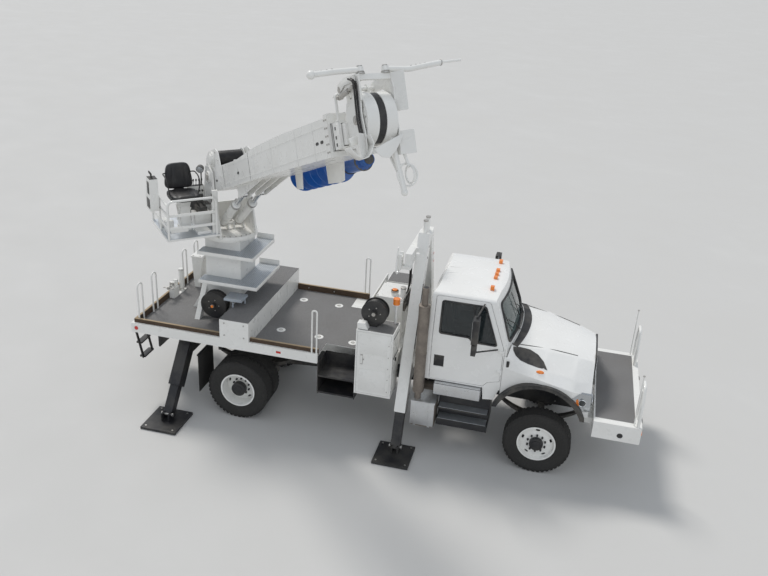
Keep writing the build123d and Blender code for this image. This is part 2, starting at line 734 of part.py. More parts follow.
door_in = cabinet_wall + 4
with BuildPart() as cabinet_door:
    block((cabinet_rear + door_in, cabinet_front - door_in), (-body_half_width, -body_half_width + 24),
          (cabinet_low + door_in, cabinet_top - door_in))
    block((cabinet_rear + 90, cabinet_rear + 120), (-body_half_width - 16, -body_half_width), (1480, 1620))
    rod((cabinet_hinge_x, cabinet_hinge_y, 1000), (cabinet_hinge_x, cabinet_hinge_y, 1900), 7.9)
    block((cabinet_hinge_x - 60, cabinet_hinge_x), (cabinet_hinge_y - 2, -body_half_width), (1000, 1900))
keep(cabinet_door, "cabinet_door")

# Hydraulic tank, valve bank and the rack between the cabinets.
with BuildPart() as hydraulic_tank:
    block((-2900, -2440), (-300, 300), (deck_top + 60, 2250))
    block((-2560, -2440), (-330, -300), (1900, 2200))
    rod((-2620, -160, 2250), (-2620, -160, 2330), 60)
    rod((-2470, -200, 2250), (-2470, -200, 2420), 45)
keep(hydraulic_tank, "hydraulic_tank")

with BuildPart() as hose_reels:
    for x, y, z, r, w in ((-2740, -960, 2290, 210, 150), (slew_x - 40, -590, 1780, 230, 150)):
        with Locations(Location((x, y, z), (90, 0, 0))):
            Cylinder(r * 0.72, w)
            Cylinder(46, w + 90)
        for side in (-1, 1):
            with Locations(Location((x, y + side * w / 2, z), (90, 0, 0))):
                Cylinder(r, 10)
    block((-2800, -2680), (-1050, -870), (cabinet_top, cabinet_top + 60))
    block((slew_x - 80, slew_x + 40), (-660, -pedestal_half), (1540, 1570))
keep(hose_reels, "hose_reels")


# Front A-frame outrigger: two outer tubes leaning together above the rails.
def leg_point(foot_y, lean, along, side):
    """A point on a leaning leg's centre line, a distance along it from the ground."""
    return (side * (foot_y - along * math.sin(math.radians(lean))), along * math.cos(math.radians(lean)))


with BuildPart() as front_outrigger:
    for side in (-1, 1):
        y0, z0 = leg_point(front_leg_foot_y, front_leg_lean, 700, side)
        y1, z1 = leg_point(front_leg_foot_y, front_leg_lean, 3600, side)
        bar((front_leg_x, y0, z0), (front_leg_x, y1, z1), 180, leg_outer)
    for side in (-1, 1):
        y0, z0 = leg_point(front_leg_foot_y, front_leg_lean, 600, side)
        y1, z1 = leg_point(front_leg_foot_y, front_leg_lean, 3380, side)
        bar((front_leg_x, y0, z0), (front_leg_x, y1, z1), leg_bore, leg_bore,
            mode=Mode.SUBTRACT)
    block((front_leg_x - 90, front_leg_x + 90), (-900, 900), (rail_top, rail_top + 160))
    for side in (-1, 1):
        y0, z0 = leg_point(front_leg_foot_y, front_leg_lean, 650, side)
        y1, z1 = leg_point(front_leg_foot_y, front_leg_lean, 3380, side)
        bar((front_leg_x, y0, z0), (front_leg_x, y1, z1), leg_bore, leg_bore,
            mode=Mode.SUBTRACT)
    block((front_leg_x - 200, front_leg_x - 91), (-600, 600), (2976, 3180))
    block((front_leg_x - 91, front_leg_x - 60), (-300, 300), (2976, 3180))
    for side in (-1, 1):
        rod((front_leg_x, side * 95, 3250), (front_leg_x, side * 95, 3585), 34)
    block((front_leg_x - 300, front_leg_x - 91), (-640, -520), (2930, 2976))
    with BuildSketch(Plane.YZ.offset(front_leg_x - 300)) as notch:
        with Locations((-600, 3055)):
            Rectangle(180, 250)
        with Locations((-600, 3180)):
            Circle(55, mode=Mode.SUBTRACT)
    extrude(notch.sketch, amount=60)
keep(front_outrigger, "front_outrigger")

for side, name in ((-1, "right"), (1, "left")):
    with BuildPart() as leg:
        y0, z0 = leg_point(front_leg_foot_y, front_leg_lean, 95, side)
        y1, z1 = leg_point(front_leg_foot_y, front_leg_lean, 1500, side)
        bar((front_leg_x, y0, z0), (front_leg_x, y1, z1), leg_inner, leg_inner)
        y0, z0 = leg_point(front_leg_foot_y, front_leg_lean, 1350, side)
        bar((front_leg_x, y0, z0), (front_leg_x, y1, z1), leg_collar, leg_collar)
        pad_y = side * (front_leg_foot_y + 75)
        block((front_leg_x - 295, front_leg_x + 295), (pad_y - 300, pad_y + 300), (0, 40))
        for x in (-50, 50):
            block((front_leg_x + x - 12, front_leg_x + x + 12),
                  sorted((side * (front_leg_foot_y - 110), side * (front_leg_foot_y + 60))), (40, 170))
    keep(leg, "front_leg_" + name)

# Rear outrigger: fixed leaning housings under the deck, with the tow hitch between them.
with BuildPart() as rear_outrigger:
    for side in (-1, 1):
        y0, z0 = leg_point(rear_leg_foot_y, rear_leg_lean, 620, side)
        y1, z1 = leg_point(rear_leg_foot_y, rear_leg_lean, 1640, side)
        bar((rear_leg_x, y0, z0), (rear_leg_x, y1, z1), 200, leg_outer + 20)
    for side in (-1, 1):
        block((rear_leg_x - 90, rear_leg_x + 90), sorted((side * rail_outer, side * 800)), (900, 1100))
    for side in (-1, 1):
        y0, z0 = leg_point(rear_leg_foot_y, rear_leg_lean, 520, side)
        y1, z1 = leg_point(rear_leg_foot_y, rear_leg_lean, 1600, side)
        bar((rear_leg_x, y0, z0), (rear_leg_x, y1, z1), leg_bore, leg_bore,
            mode=Mode.SUBTRACT)
    block((frame_rear - 30, frame_rear), (-400, 400), (620, 1000))
    block((frame_rear - 190, frame_rear - 30), (-45, 45), (hitch_z - 30, hitch_z + 30))
    with Locations((frame_rear - 190, 0, hitch_z)):
        Cylinder(hitch_radius + 34, hitch_length)
        Cylinder(hitch_radius, 200, mode=Mode.SUBTRACT)
keep(rear_outrigger, "rear_outrigger")

for side, name in ((-1, "right"), (1, "left")):
    with BuildPart() as leg:
        y0, z0 = leg_point(rear_leg_foot_y, rear_leg_lean, 110, side)
        y1, z1 = leg_point(rear_leg_foot_y, rear_leg_lean, 1000, side)
        bar((rear_leg_x, y0, z0), (rear_leg_x, y1, z1), leg_inner, leg_inner)
        y0, z0 = leg_point(rear_leg_foot_y, rear_leg_lean, 900, side)
        bar((rear_leg_x, y0, z0), (rear_leg_x, y1, z1), leg_collar, leg_collar)
        block((rear_leg_x - 310, rear_leg_x + 310), sorted((side * 1370, side * 2030)), (0, 40))
        for x in (-60, 60):
            block((rear_leg_x + x - 12, rear_leg_x + x + 12),
                  sorted((side * (rear_leg_foot_y - 130), side * (rear_leg_foot_y + 60))), (40, 180))
    keep(leg, "rear_leg_" + name)

with BuildPart() as lamps:
    for side in (-1, 1):
        for inset in (90, 180, 300):
            y = body_half_width - inset
            with Locations(Location((deck_rear - 6, side * y, 1410), (0, 90, 0))):
                Cylinder(42, 12)
    for y in (-560, -160, 0, 160, 560):
        block((-1030, -970), (y - 34, y + 34), (2745, 2835))
    add(cab_form(0), mode=Mode.SUBTRACT)
    rod((-2440, -820, cabinet_top), (-2440, -820, 2400), 20)
    rod((-2440, -820, 2400), (-2440, -820, 2500), 55)
keep(lamps, "lamps")


# Wheels: knuckle, rim with its hub, and tyre.
with BuildPart() as tyre:
    half = tyre_width / 2
    inner = rim_radius + 0.5
    with BuildSketch(Plane.XY):
        with BuildLine():
            Polyline((inner, -half + 30), (inner, half - 30), (inner + 30, half - 14),
                     (inner + 120, half), (tyre_radius - 45, half - 6), (tyre_radius - 6, half - 30),
                     (tyre_radius, 0), (tyre_radius - 6, -half + 30), (tyre_radius - 45, -half + 6),
                     (inner + 120, -half), (inner + 30, -half + 14), close=True)
        make_face()
    revolve(axis=Axis.Y)


def rim(dish, hub_radius, hub_in, hub_out):
    """A disc wheel about the Y axis; the disc lies at the dish offset, the outside towards +Y."""
    half = tyre_width / 2 - 16
    lip = rim_radius + 12
    well = rim_radius - 12
    with BuildPart(mode=Mode.PRIVATE) as made:
        with BuildSketch(Plane.XY):
            with BuildLine():
                Polyline((rim_radius, -half), (rim_radius, half), (lip, half), (lip, half + 8),
                         (well, half + 8), (well - 12, dish + 8), (190, dish + 30), (20, dish + 30),
                         (20, dish + 14), (186, dish + 14), (well - 12, dish - 8), (well, -half - 8),
                         (lip, -half - 8), (lip, -half), close=True)
            make_face()
        revolve(axis=Axis.Y)
        with BuildSketch(Plane.XZ.offset(-dish - 60)) as holes:
            with PolarLocations(228, 5, 90):
                SlotOverall(66, 36, rotation=90)
        extrude(holes.sketch, amount=120, mode=Mode.SUBTRACT)
        with Locations(Location((0, (hub_in + hub_out) / 2, 0), (90, 0, 0))):
            Cylinder(hub_radius, hub_out - hub_in)
    return made.part


wheels = [
    # name, x, outward side, tyre centres, spindle radius, spindle end
    ("front_right", 0, -1, (front_tyre_centre,), spindle_radius, 1125),
    ("front_left", 0, 1, (front_tyre_centre,), spindle_radius, 1125),
    ("rear_right", -wheelbase, -1, (dual_outer_centre, dual_inner_centre), rear_spindle_radius, 1128),
    ("rear_left", -wheelbase, 1, (dual_outer_centre, dual_inner_centre), rear_spindle_radius, 1128),
]
for name, x, side, centres, spindle, spindle_end in wheels:
    turn = 0 if side > 0 else 180
    with BuildPart() as tyres:
        for y in centres:
            with Locations(Location((x, side * y, tyre_radius), (0, 0, turn))):
                add(tyre.part)
    keep(tyres, "tyres_" + name)
    with BuildPart() as rims:
        with Locations(Location((x, side * centres[0], tyre_radius), (0, 0, turn))):
            if len(centres) == 1:
                add(rim(60, 105, -110, 150))
            else:
                add(rim(-80, 120, -110, 100))
        if len(centres) == 2:
            with Locations(Location((x, side * centres[1], tyre_radius), (0, 0, turn + 180))):
                add(rim(-80, 120, -230, -60))
        rod((x, side * 600, tyre_radius), (x, side * (spindle_end + 1), tyre_radius),
            spindle + running_gap, Mode.SUBTRACT)
    keep(rims, "rims_" + name)

for side, name in ((-1, "right"), (1, "left")):
    with BuildPart() as knuckle:
        z = tyre_radius
        with Locations((0, side * kingpin_y, z)):
            Cylinder(20, 230)
        for low, high in ((z + 74, z + 114), (z - 114, z - 74)):
            block((-45, 45), sorted((side * (kingpin_y - 45), side * (kingpin_y + 86))), (low, high))
        block((-60, 60), sorted((side * (kingpin_y + 57), side * (kingpin_y + 86))), (z - 114, z + 114))
        rod((0, side * (kingpin_y + 80), z), (0, side * 1125, z), spindle_radius)
        block((-230, -40), sorted((side * (kingpin_y - 40), side * (kingpin_y + 10))), (z - 110, z - 80))
    keep(knuckle, "knuckle_" + name)


# Turret, in its own frame: +X towards the boom's tip, origin on the slew axis at ground level.
turret_place = Location((slew_x, 0, 0), (0, 0, rest_slew))
with BuildPart() as turret:
    with Locations((0, 0, 2920)):
        Cylinder(ring_radius, 60)
    cheek = [(-430, ring_top), (450, ring_top), (450, 3060), (160, 3700), (110, 3990), (-60, 4060),
             (-230, 4010), (-430, 3300)]
    for side in (-1, 1):
        side_plate(cheek, *sorted((side * (boom_half_width + 12), side * (boom_half_width + 42))))
        rod((-pivot_back, side * (boom_half_width + 42), pivot_z), (-pivot_back, side * 345, pivot_z), 95)
        for low in (45, 210):
            side_plate([(base_pin_h - 90, ring_top), (base_pin_h + 120, ring_top),
                        (base_pin_h + 50, base_pin_z + 50), (base_pin_h - 50, base_pin_z + 50)],
                       *sorted((side * low, side * (low + 15))))
    rod((base_pin_h, -240, base_pin_z), (base_pin_h, 240, base_pin_z), 24 + running_gap, Mode.SUBTRACT)
    block((-430, -400), (-boom_half_width - 12, boom_half_width + 12), (ring_top, 3300))
    rod((-pivot_back, -boom_half_width - 12, pivot_z), (-pivot_back, boom_half_width + 12, pivot_z), 38)
keep(turret, "turret", turret_place)

# Operator platform on the turret's right: floor, guard rails, post and console.
floor_low = 3030
floor_top = 3060
rail_height = 3690
with BuildPart() as operator_platform:
    block((-562, 502), (-1188, -boom_half_width - 42), (floor_low, floor_top))
    pipe([(475, -375, floor_top), (475, -375, rail_height), (475, -1160, rail_height),
          (475, -1160, floor_top)], 90, 20)
    pipe([(472, -1160, rail_height - 60), (-540, -1160, rail_height - 60), (-540, -1160, floor_top)], 90, 18)
    for z in (3240, 3450):
        block((467, 483), (-1160, -375), (z - 22, z + 22))
        block((-540, 475), (-1168, -1152), (z - 22, z + 22))
    rod((-30, -1160, floor_top), (-30, -1160, rail_height - 60), 16)
    block((400, 449), (-430, -335), (floor_top, 3790))
    side_plate([(-210, 3420), (60, 3420), (100, 3560), (100, 3960), (-90, 3960), (-210, 3620)], -1330, -1195)
    block((-120, -40), (-1200, -1150), (3425, 3455))
    block((-420, -340), (-620, -boom_half_width - 42), (floor_top, 3640))
keep(operator_platform, "operator_platform", turret_place)

with BuildPart() as operator_seat:
    block((-150, 150), (-860, -700), (3060, 3560))
    with BuildSketch(Plane.XY.offset(3560)) as cushion:
        with Locations((40, -780)):
            RectangleRounded(480, 480, 80)
    extrude(cushion.sketch, amount=130)
    with BuildSketch(Plane.YZ.offset(-300)) as back:
        with Locations((-780, 3880)):
            RectangleRounded(440, 420, 90)
    extrude(back.sketch, amount=110)
    block((-230, -190), (-860, -700), (3600, 3700))
keep(operator_seat, "operator_seat", turret_place)


# Lift cylinders, drawn in the turret frame along the line from base pin to rod pin.
lift_angle = math.radians(rest_lift)
rod_pin_h = -pivot_back + lift_pin_a * math.cos(lift_angle) - lift_pin_u * math.sin(lift_angle)
rod_pin_z = pivot_z + lift_pin_a * math.sin(lift_angle) + lift_pin_u * math.cos(lift_angle)
reach_h = rod_pin_h - base_pin_h
reach_z = rod_pin_z - base_pin_z
pin_distance = math.hypot(reach_h, reach_z)


def along(distance, y):
    """A point on the cylinder line, measured from the base pin."""
    part_way = distance / pin_distance
    return (base_pin_h + reach_h * part_way, y, base_pin_z + reach_z * part_way)


with BuildPart() as lift_barrels:
    for y in (-135, 135):
        rod(along(60, y), along(barrel_length, y), barrel_radius)
        rod(along(40, y), along(70, y), 45)
        rod((base_pin_h, y - 50, base_pin_z), (base_pin_h, y + 50, base_pin_z), 45)
        rod(along(90, y), along(barrel_length + 10, y), rod_radius + running_gap, Mode.SUBTRACT)
    rod((base_pin_h, -225, base_pin_z), (base_pin_h, 225, base_pin_z), 24)
keep(lift_barrels, "lift_barrels", turret_place)

with BuildPart() as lift_rods:
    for y in (-135, 135):
        rod(along(rod_inner_end, y), along(pin_distance - 42, y), rod_radius)
        rod((rod_pin_h, y - 38, rod_pin_z), (rod_pin_h, y + 38, rod_pin_z), 52)
        rod((rod_pin_h, y - 60, rod_pin_z), (rod_pin_h, y + 60, rod_pin_z), 30, Mode.SUBTRACT)
keep(lift_rods, "lift_rods", turret_place)


# Boom, in its own frame: +X along the boom, +Z up from it, origin on the pivot.
boom_place = turret_place * Location((-pivot_back, 0, pivot_z), (0, -rest_lift, 0))
boom_side = [(-170, -170), (0, -250), (1100, -270), (3200, -272), (boom_end, boom_front_low),
             (boom_end, 150), (3300, 180), (2300, 165), (1400, 95), (500, 112), (-170, 150)]
middle_half = boom_half_width - boom_wall - stage_gap
middle_low = boom_front_low + boom_wall + stage_gap + 40
middle_high = 95 - boom_wall - stage_gap
tip_half = middle_half - boom_wall - stage_gap
tip_low = middle_low + boom_wall + stage_gap
tip_high = middle_high - boom_wall - stage_gap
with BuildPart() as boom_outer:
    side_plate(boom_side, -boom_half_width, boom_half_width)
    block((300, boom_end + 10), (-boom_half_width + boom_wall, boom_half_width - boom_wall),
          (middle_low - stage_gap, middle_high + stage_gap), Mode.SUBTRACT)
    for side in (-1, 1):
        side_plate([(-170, 140), (600, 100), (560, 330), (430, 400), (60, 400), (-170, 300)],
                   *sorted((side * (boom_half_width - 15), side * boom_half_width)))
    block((-170, -150), (-boom_half_width, boom_half_width), (140, 300))
    with Locations(Location((220, 0, 260), (90, 0, 0))):
        Cylinder(95, 2 * boom_half_width - 40)
        Cylinder(150, 2 * 235)
        Cylinder(160, 2 * 225, mode=Mode.SUBTRACT)
        Cylinder(110, 2 * 225)
    rod((0, -300, 0), (0, 300, 0), 38 + running_gap, Mode.SUBTRACT)
    for y in (-200, -70, 70, 200):
        side_plate([(lift_pin_a - 90, -270), (lift_pin_a - 50, lift_pin_u - 50),
                    (lift_pin_a + 60, lift_pin_u - 50), (2300, -271)], y - 8, y + 8)
    for side in (-1, 1):
        for near, far in ((62, 92), (178, 208)):
            rod((lift_pin_a, side * near, lift_pin_u), (lift_pin_a, side * far, lift_pin_u), 27)
    block((boom_end - 90, boom_end), (-boom_half_width - 14, boom_half_width + 14), (150, 185))
    for side in (-1, 1):
        block((boom_end - 90, boom_end), sorted((side * boom_half_width, side * (boom_half_width + 14))),
              (boom_front_low, 185))
    for l in (auger_l - 95, auger_l + 75):
        block((auger_hinge_a - 60, auger_hinge_a + 60), (l, l + 20),
              (auger_hinge_u - 60, auger_hinge_u + bracket_top))
    block((auger_hinge_a - 60, auger_hinge_a + 60), (boom_half_width, auger_l + 95),
          (auger_hinge_u + bracket_low, auger_hinge_u + bracket_top))
    rod((auger_hinge_a, auger_l - 95, auger_hinge_u), (auger_hinge_a, auger_l + 95, auger_hinge_u), 24)
    block((auger_rear + 60, auger_rear + 120), (boom_half_width, auger_l), (auger_u + auger_radius + 10, -30))
    for pad_u in ((middle_low - stage_gap - 2, middle_low - running_gap),
                  (middle_high + running_gap, middle_high + stage_gap + 2)):
        block((boom_end - 160, boom_end - 10), (-150, 150), pad_u)
keep(boom_outer, "boom_outer", boom_place)

with BuildPart() as boom_middle:
    block((middle_rear, middle_front), (-middle_half, middle_half), (middle_low, middle_high))
    block((middle_rear - 10, middle_front + 10), (-middle_half + boom_wall, middle_half - boom_wall),
          (middle_low + boom_wall, middle_high - boom_wall), Mode.SUBTRACT)
    for pad_u in ((tip_low - stage_gap - 2, tip_low - running_gap),
                  (tip_high + running_gap, tip_high + stage_gap + 2)):
        block((middle_front - 160, middle_front - 10), (-120, 120), pad_u)
keep(boom_middle, "boom_middle", boom_place)

head_wall = 12
with BuildPart() as boom_tip:
    block((tip_rear, head_start + 60), (-tip_half, tip_half), (tip_low, tip_high))
    block((tip_rear - 10, head_start + 20), (-tip_half + boom_wall, tip_half - boom_wall),
          (tip_low + boom_wall, tip_high - boom_wall), Mode.SUBTRACT)
    for trim, mode in ((0, Mode.ADD), (head_wall, Mode.SUBTRACT)):
        low_end, high_end = (-185 + trim / 2, 175 - trim / 2)
        with BuildSketch(Plane.XZ.offset(-high_end)) as head_side:
            with BuildLine():
                front = ThreePointArc((sheave_a + 60, sheave_u + head_radius - trim),
                                      (sheave_a + head_radius - trim, sheave_u),
                                      (sheave_a + 60, sheave_u - head_radius + trim))
                Polyline(front @ 1, (head_start + 90 + trim, tip_low - 60 + trim),
                         (head_start + trim, tip_low + 5 + trim),
                         (head_start + trim, tip_high - 5 - trim),
                         (head_start + 90 + trim, 230 - trim), front @ 0)
            make_face()
        extrude(head_side.sketch, amount=high_end - low_end, mode=mode)
    for side in (-1, 1):
        with BuildSketch(Plane.XZ.offset(-side * 65)) as cheek_face:
            with BuildLine():
                front = ThreePointArc((sheave_a + 60, sheave_u + head_radius - 4),
                                      (sheave_a + head_radius - 4, sheave_u),
                                      (sheave_a + 60, sheave_u - head_radius + 4))
                Polyline(front @ 1, (head_start + 94, tip_low - 56), (head_start + 4, tip_low + 9),
                         (head_start + 4, tip_high - 9), (head_start + 94, 226), front @ 0)
            make_face()
        extrude(cheek_face.sketch, amount=12, both=True)
    block((head_start - 20, head_start + 700), (-45, 45), (-400, 400), Mode.SUBTRACT)
    rod((sheave_a, -80, sheave_u), (sheave_a, 80, sheave_u), 24)
    for side in (-1, 1):
        side_plate([(head_start, tip_high - 5), (head_start + 60, tip_high - 5),
                    (guide_hinge_a + 50, guide_hinge_u), (guide_hinge_a + 20, guide_hinge_u + 45),
                    (guide_hinge_a - 20, guide_hinge_u + 45), (guide_hinge_a - 50, guide_hinge_u)],
                   *sorted((side * 100, side * 128)))
    rod((guide_hinge_a, -225, guide_hinge_u), (guide_hinge_a, 225, guide_hinge_u), 24)
    rod((5545, 130, -150), (5600, 185, -800), 32)
    with Locations(Location((5600, 185, -805))):
        Sphere(38)
    with Locations(Location((5595, 250, -620), (20, 90, 0))):
        Torus(120, 12)
keep(boom_tip, "boom_tip", boom_place)

with BuildPart() as tip_sheave:
    with Locations(Location((sheave_a, 0, sheave_u), (90, 0, 0))):
        Cylinder(sheave_radius, 60)
        Cylinder(24 + running_gap, 100, mode=Mode.SUBTRACT)
keep(tip_sheave, "tip_sheave", boom_place)

# Pole guide: two curved side plates on a hinge above the boom's tip, with flared jaws.
guide_side = [(5130, 340), (5130, 440), (5300, 490), (5590, 470), (5640, 300), (5610, 60), (5640, -150),
              (5620, -390), (5440, -400), (5370, -250), (5480, -100), (5500, 150), (5420, 330), (5300, 340)]
flares = [
    # low u, high u, side, reach from the centre plane
    (-400, -150, -1, 335), (-400, -150, 1, 325), (180, 450, -1, 240), (60, 470, 1, 290),
]
with BuildPart() as pole_guide:
    for low, high in ((-215, -200), (190, 205)):
        side_plate(guide_side, low, high)
    rod((guide_hinge_a, -240, guide_hinge_u), (guide_hinge_a, 240, guide_hinge_u),
        24 + running_gap, Mode.SUBTRACT)
    block((5540, 5600), (-215, 205), (410, 470))
    for low, high, side, reach in flares:
        near = -200 if side < 0 else 190
        strap = [(5585, near), (5610, near), (5730, side * reach), (5705, side * (reach + 8))]
        plate(strap[::side], low, high, Plane.XY)
    for side in (-1, 1):
        rod((5580, side * 150, 470), (5580, side * 150, 482), 38)
keep(pole_guide, "pole_guide", boom_place)

arms = [
    # side, name, outer end of the thick arm, its height, end of the thin finger, its height
    (-1, "right", 720, 478, 0, 0),
    (1, "left", 850, 560, 1090, 575),
]
for side, name, reach, rise, finger, finger_rise in arms:
    with BuildPart() as tong:
        rod((5580, side * 150, 482.3), (5580, side * 150, 545), 40)
        pipe([(5580, side * 150, 515), (5580, side * 430, 505), (5600, side * reach, rise)], 300, 31)
        if finger:
            rod((5600, side * (reach - 30), rise), (5620, side * finger, finger_rise), 14)
        else:
            with Locations(Location((5600, side * reach, rise))):
                Sphere(46)
    keep(tong, "tong_" + name, boom_place)

# Auger drive, hung from the boom's left side, and the auger on its shaft.
with BuildPart() as auger_drive:
    rod((auger_front, auger_l, auger_u), (auger_front + 420, auger_l, auger_u), 120)
    rod((auger_front + 420, auger_l, auger_u), (auger_front + 560, auger_l, auger_u), 80)
    block((auger_hinge_a - 45, auger_hinge_a + 45), (auger_l - 60, auger_l + 60),
          (auger_u + 40, auger_hinge_u + 50))
    rod((auger_hinge_a, auger_l - 75, auger_hinge_u), (auger_hinge_a, auger_l + 75, auger_hinge_u), 40)
    rod((auger_hinge_a, auger_l - 100, auger_hinge_u), (auger_hinge_a, auger_l + 100, auger_hinge_u),
        24 + running_gap, Mode.SUBTRACT)
keep(auger_drive, "auger_drive", boom_place)

with BuildPart() as auger:
    rod((auger_rear - 60, auger_l, auger_u), (auger_front - 0.5, auger_l, auger_u), 38)
    with BuildPart(mode=Mode.PRIVATE) as flight:
        with BuildLine():
            turn = Helix(auger_pitch, auger_front - auger_rear - 160, flight_middle)
        with BuildSketch(Plane(turn @ 0, x_dir=(1, 0, 0), z_dir=turn % 0)):
            with Locations(((auger_radius + 30) / 2 - flight_middle, 0)):
                Rectangle(auger_radius - 30, 12)
        sweep(path=turn, is_frenet=True)
    add(Plane(origin=(auger_rear, auger_l, auger_u), x_dir=(0, 1, 0), z_dir=(1, 0, 0)) * flight.part)
keep(auger, "auger", boom_place)


for solid in parts:
    export_step(solid, "parts/" + solid.label + ".step")
print(len(parts), "pieces")
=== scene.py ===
from math import cos, exp, hypot, radians, sin, tau

import bmesh
import bpy
from mathutils import Matrix, Vector, noise as lumps


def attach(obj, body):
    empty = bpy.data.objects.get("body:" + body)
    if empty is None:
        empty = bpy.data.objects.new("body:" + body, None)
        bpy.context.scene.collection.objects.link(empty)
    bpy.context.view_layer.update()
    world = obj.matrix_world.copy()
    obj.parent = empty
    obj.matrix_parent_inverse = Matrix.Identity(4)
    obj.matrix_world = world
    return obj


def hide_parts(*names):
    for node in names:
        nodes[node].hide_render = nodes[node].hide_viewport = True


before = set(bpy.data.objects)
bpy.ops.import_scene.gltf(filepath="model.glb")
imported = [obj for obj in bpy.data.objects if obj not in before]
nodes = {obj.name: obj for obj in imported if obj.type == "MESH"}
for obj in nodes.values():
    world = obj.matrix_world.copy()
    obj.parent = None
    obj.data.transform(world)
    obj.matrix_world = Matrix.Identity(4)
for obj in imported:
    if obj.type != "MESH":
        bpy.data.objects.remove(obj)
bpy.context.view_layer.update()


# Frames
def placed(spot, degrees, axis="Y"):
    """The matrix of a place with a turn about one axis."""
    return Matrix.Translation(spot) @ Matrix.Rotation(radians(degrees), 4, axis)


def sized(spot, size):
    """The matrix of a place with a size along each axis."""
    return Matrix.Translation(spot) @ Matrix.Diagonal((*size, 1))


PIVOT_BACK = 0.06
PIVOT_Z = 3.87
SLEW_X = -5.6
REST_SLEW = -47.5
REST_LIFT = 22
ROW = Matrix.Identity(4)
TURRET = placed((SLEW_X, 0, 0), REST_SLEW, "Z")
BOOM = TURRET @ placed((-PIVOT_BACK, 0, PIVOT_Z), -REST_LIFT)
BOOM_BODIES = "boom_outer boom_middle boom_tip tip_sheave pole_guide tong_right tong_left auger_drive auger"
PLACES = {"turret": TURRET, "lift_barrels": TURRET, **dict.fromkeys(BOOM_BODIES.split(), BOOM)}


# Materials
class Shader:
    """A Principled material with short ways to make its nodes and to fill its inputs."""

    def __init__(self, name):
        self.mat = bpy.data.materials.new(name)
        self.mat.use_nodes = True
        self.tree = self.mat.node_tree
        self.bsdf = self.tree.nodes["Principled BSDF"]

    def node(self, kind, **values):
        made = self.tree.nodes.new(kind)
        for key, value in values.items():
            if key in made.inputs:
                made.inputs[key].default_value = value
            else:
                setattr(made, key, value)
        return made

    def link(self, source, target):
        self.tree.links.new(source, target)

    def values(self, **values):
        for key, value in values.items():
            self.bsdf.inputs[key.replace("_", " ")].default_value = value

    def colour(self, source):
        self.link(source, self.bsdf.inputs["Base Color"])

    def rough(self, source):
        self.link(source, self.bsdf.inputs["Roughness"])

    def noise(self, scale, detail=4.0, rough=0.55, stretch=None):
        vector = self.node("ShaderNodeTexCoord").outputs["Object"]
        made = self.node("ShaderNodeTexNoise", Scale=scale, Detail=detail, Roughness=rough)
        if stretch:
            mapping = self.node("ShaderNodeMapping", Scale=stretch)
            self.link(vector, mapping.inputs["Vector"])
            vector = mapping.outputs["Vector"]
        self.link(vector, made.inputs["Vector"])
        return made.outputs["Fac"]

    def ramp(self, source, stops):
        made = self.node("ShaderNodeValToRGB")
        band = made.color_ramp
        while len(band.elements) < len(stops):
            band.elements.new(0.5)
        for element, (place, colour) in zip(band.elements, stops):
            element.position = place
            element.color = (*colour, 1)
        self.link(source, made.inputs["Fac"])
        return made.outputs["Color"]

    def spread(self, source, low, high, to_low, to_high):
        made = self.node("ShaderNodeMapRange",
                         **{"From Min": low, "From Max": high, "To Min": to_low, "To Max": to_high})
        self.link(source, made.inputs["Value"])
        return made.outputs["Result"]

    def bump(self, source, strength, distance):
        made = self.node("ShaderNodeBump", Strength=strength, Distance=distance)
        self.link(source, made.inputs["Height"])
        self.link(made.outputs["Normal"], self.bsdf.inputs["Normal"])


def paint(name, colour, rough=0.35, metal=0.0, coat=0.0, dirt=(0.4, 0.36, 0.3), soil=0.12, grain=0.0, scale=3.0):
    """Enamel or plain metal with faint grime and an uneven gloss."""
    s = Shader(name)
    s.values(Metallic=metal, Coat_Weight=coat)
    soiled = tuple(c * (1 - soil) + d * soil for c, d in zip(colour, dirt))
    light = tuple(min(1.0, c * 1.03) for c in colour)
    s.colour(s.ramp(s.noise(scale, 6.0, 0.65), [(0.38, soiled), (0.56, colour), (0.72, light)]))
    s.rough(s.spread(s.noise(scale * 2.7, 3.0), 0.3, 0.7, max(0.05, rough - 0.08), rough + 0.12))
    if grain:
        s.bump(s.noise(240.0, 3.0, 0.6), grain, 0.002)
    return s.mat


def gritty(name, colour, speck, scale=160.0, strength=0.7, rough=0.85):
    """Non-skid coating or tread rubber: fine specks with a matching bump."""
    s = Shader(name)
    fine = s.noise(scale, 3.0, 0.7)
    colours = s.ramp(fine, [(0.35, colour), (0.62, speck)])
    broad = s.noise(1.6, 4.0, 0.6)
    mix = s.node("ShaderNodeMix", data_type="RGBA", blend_type="MULTIPLY")
    mix.inputs[0].default_value = 0.35
    s.link(colours, mix.inputs[6])
    s.link(s.ramp(broad, [(0.35, (0.75, 0.73, 0.7)), (0.65, (1, 1, 1))]), mix.inputs[7])
    s.colour(mix.outputs[2])
    s.values(Roughness=rough)
    s.bump(fine, strength, 0.003)
    return s.mat


def timber(name, dark, light):
    s = Shader(name)
    fibres = s.noise(5.0, 6.0, 0.7, (1.2, 14.0, 14.0))
    s.colour(s.ramp(fibres, [(0.3, dark), (0.7, light)]))
    s.values(Roughness=0.8)
    s.bump(fibres, 0.5, 0.004)
    return s.mat


def treadplate(name, colour):
    """Bright plate with rows of round dimples on its upper face."""
    s = Shader(name)
    s.values(Metallic=0.85)
    cells = s.node("ShaderNodeTexVoronoi", Scale=26.0, Randomness=0.0)
    s.link(s.node("ShaderNodeTexCoord").outputs["Object"], cells.inputs["Vector"])
    s.colour(s.ramp(s.noise(4.0, 5.0, 0.6), [(0.3, tuple(c * 0.82 for c in colour)), (0.7, colour)]))
    s.rough(s.spread(s.noise(9.0), 0.3, 0.7, 0.32, 0.5))
    s.bump(s.spread(cells.outputs["Distance"], 0.28, 0.36, 1.0, 0.0), 0.6, 0.004)
    return s.mat


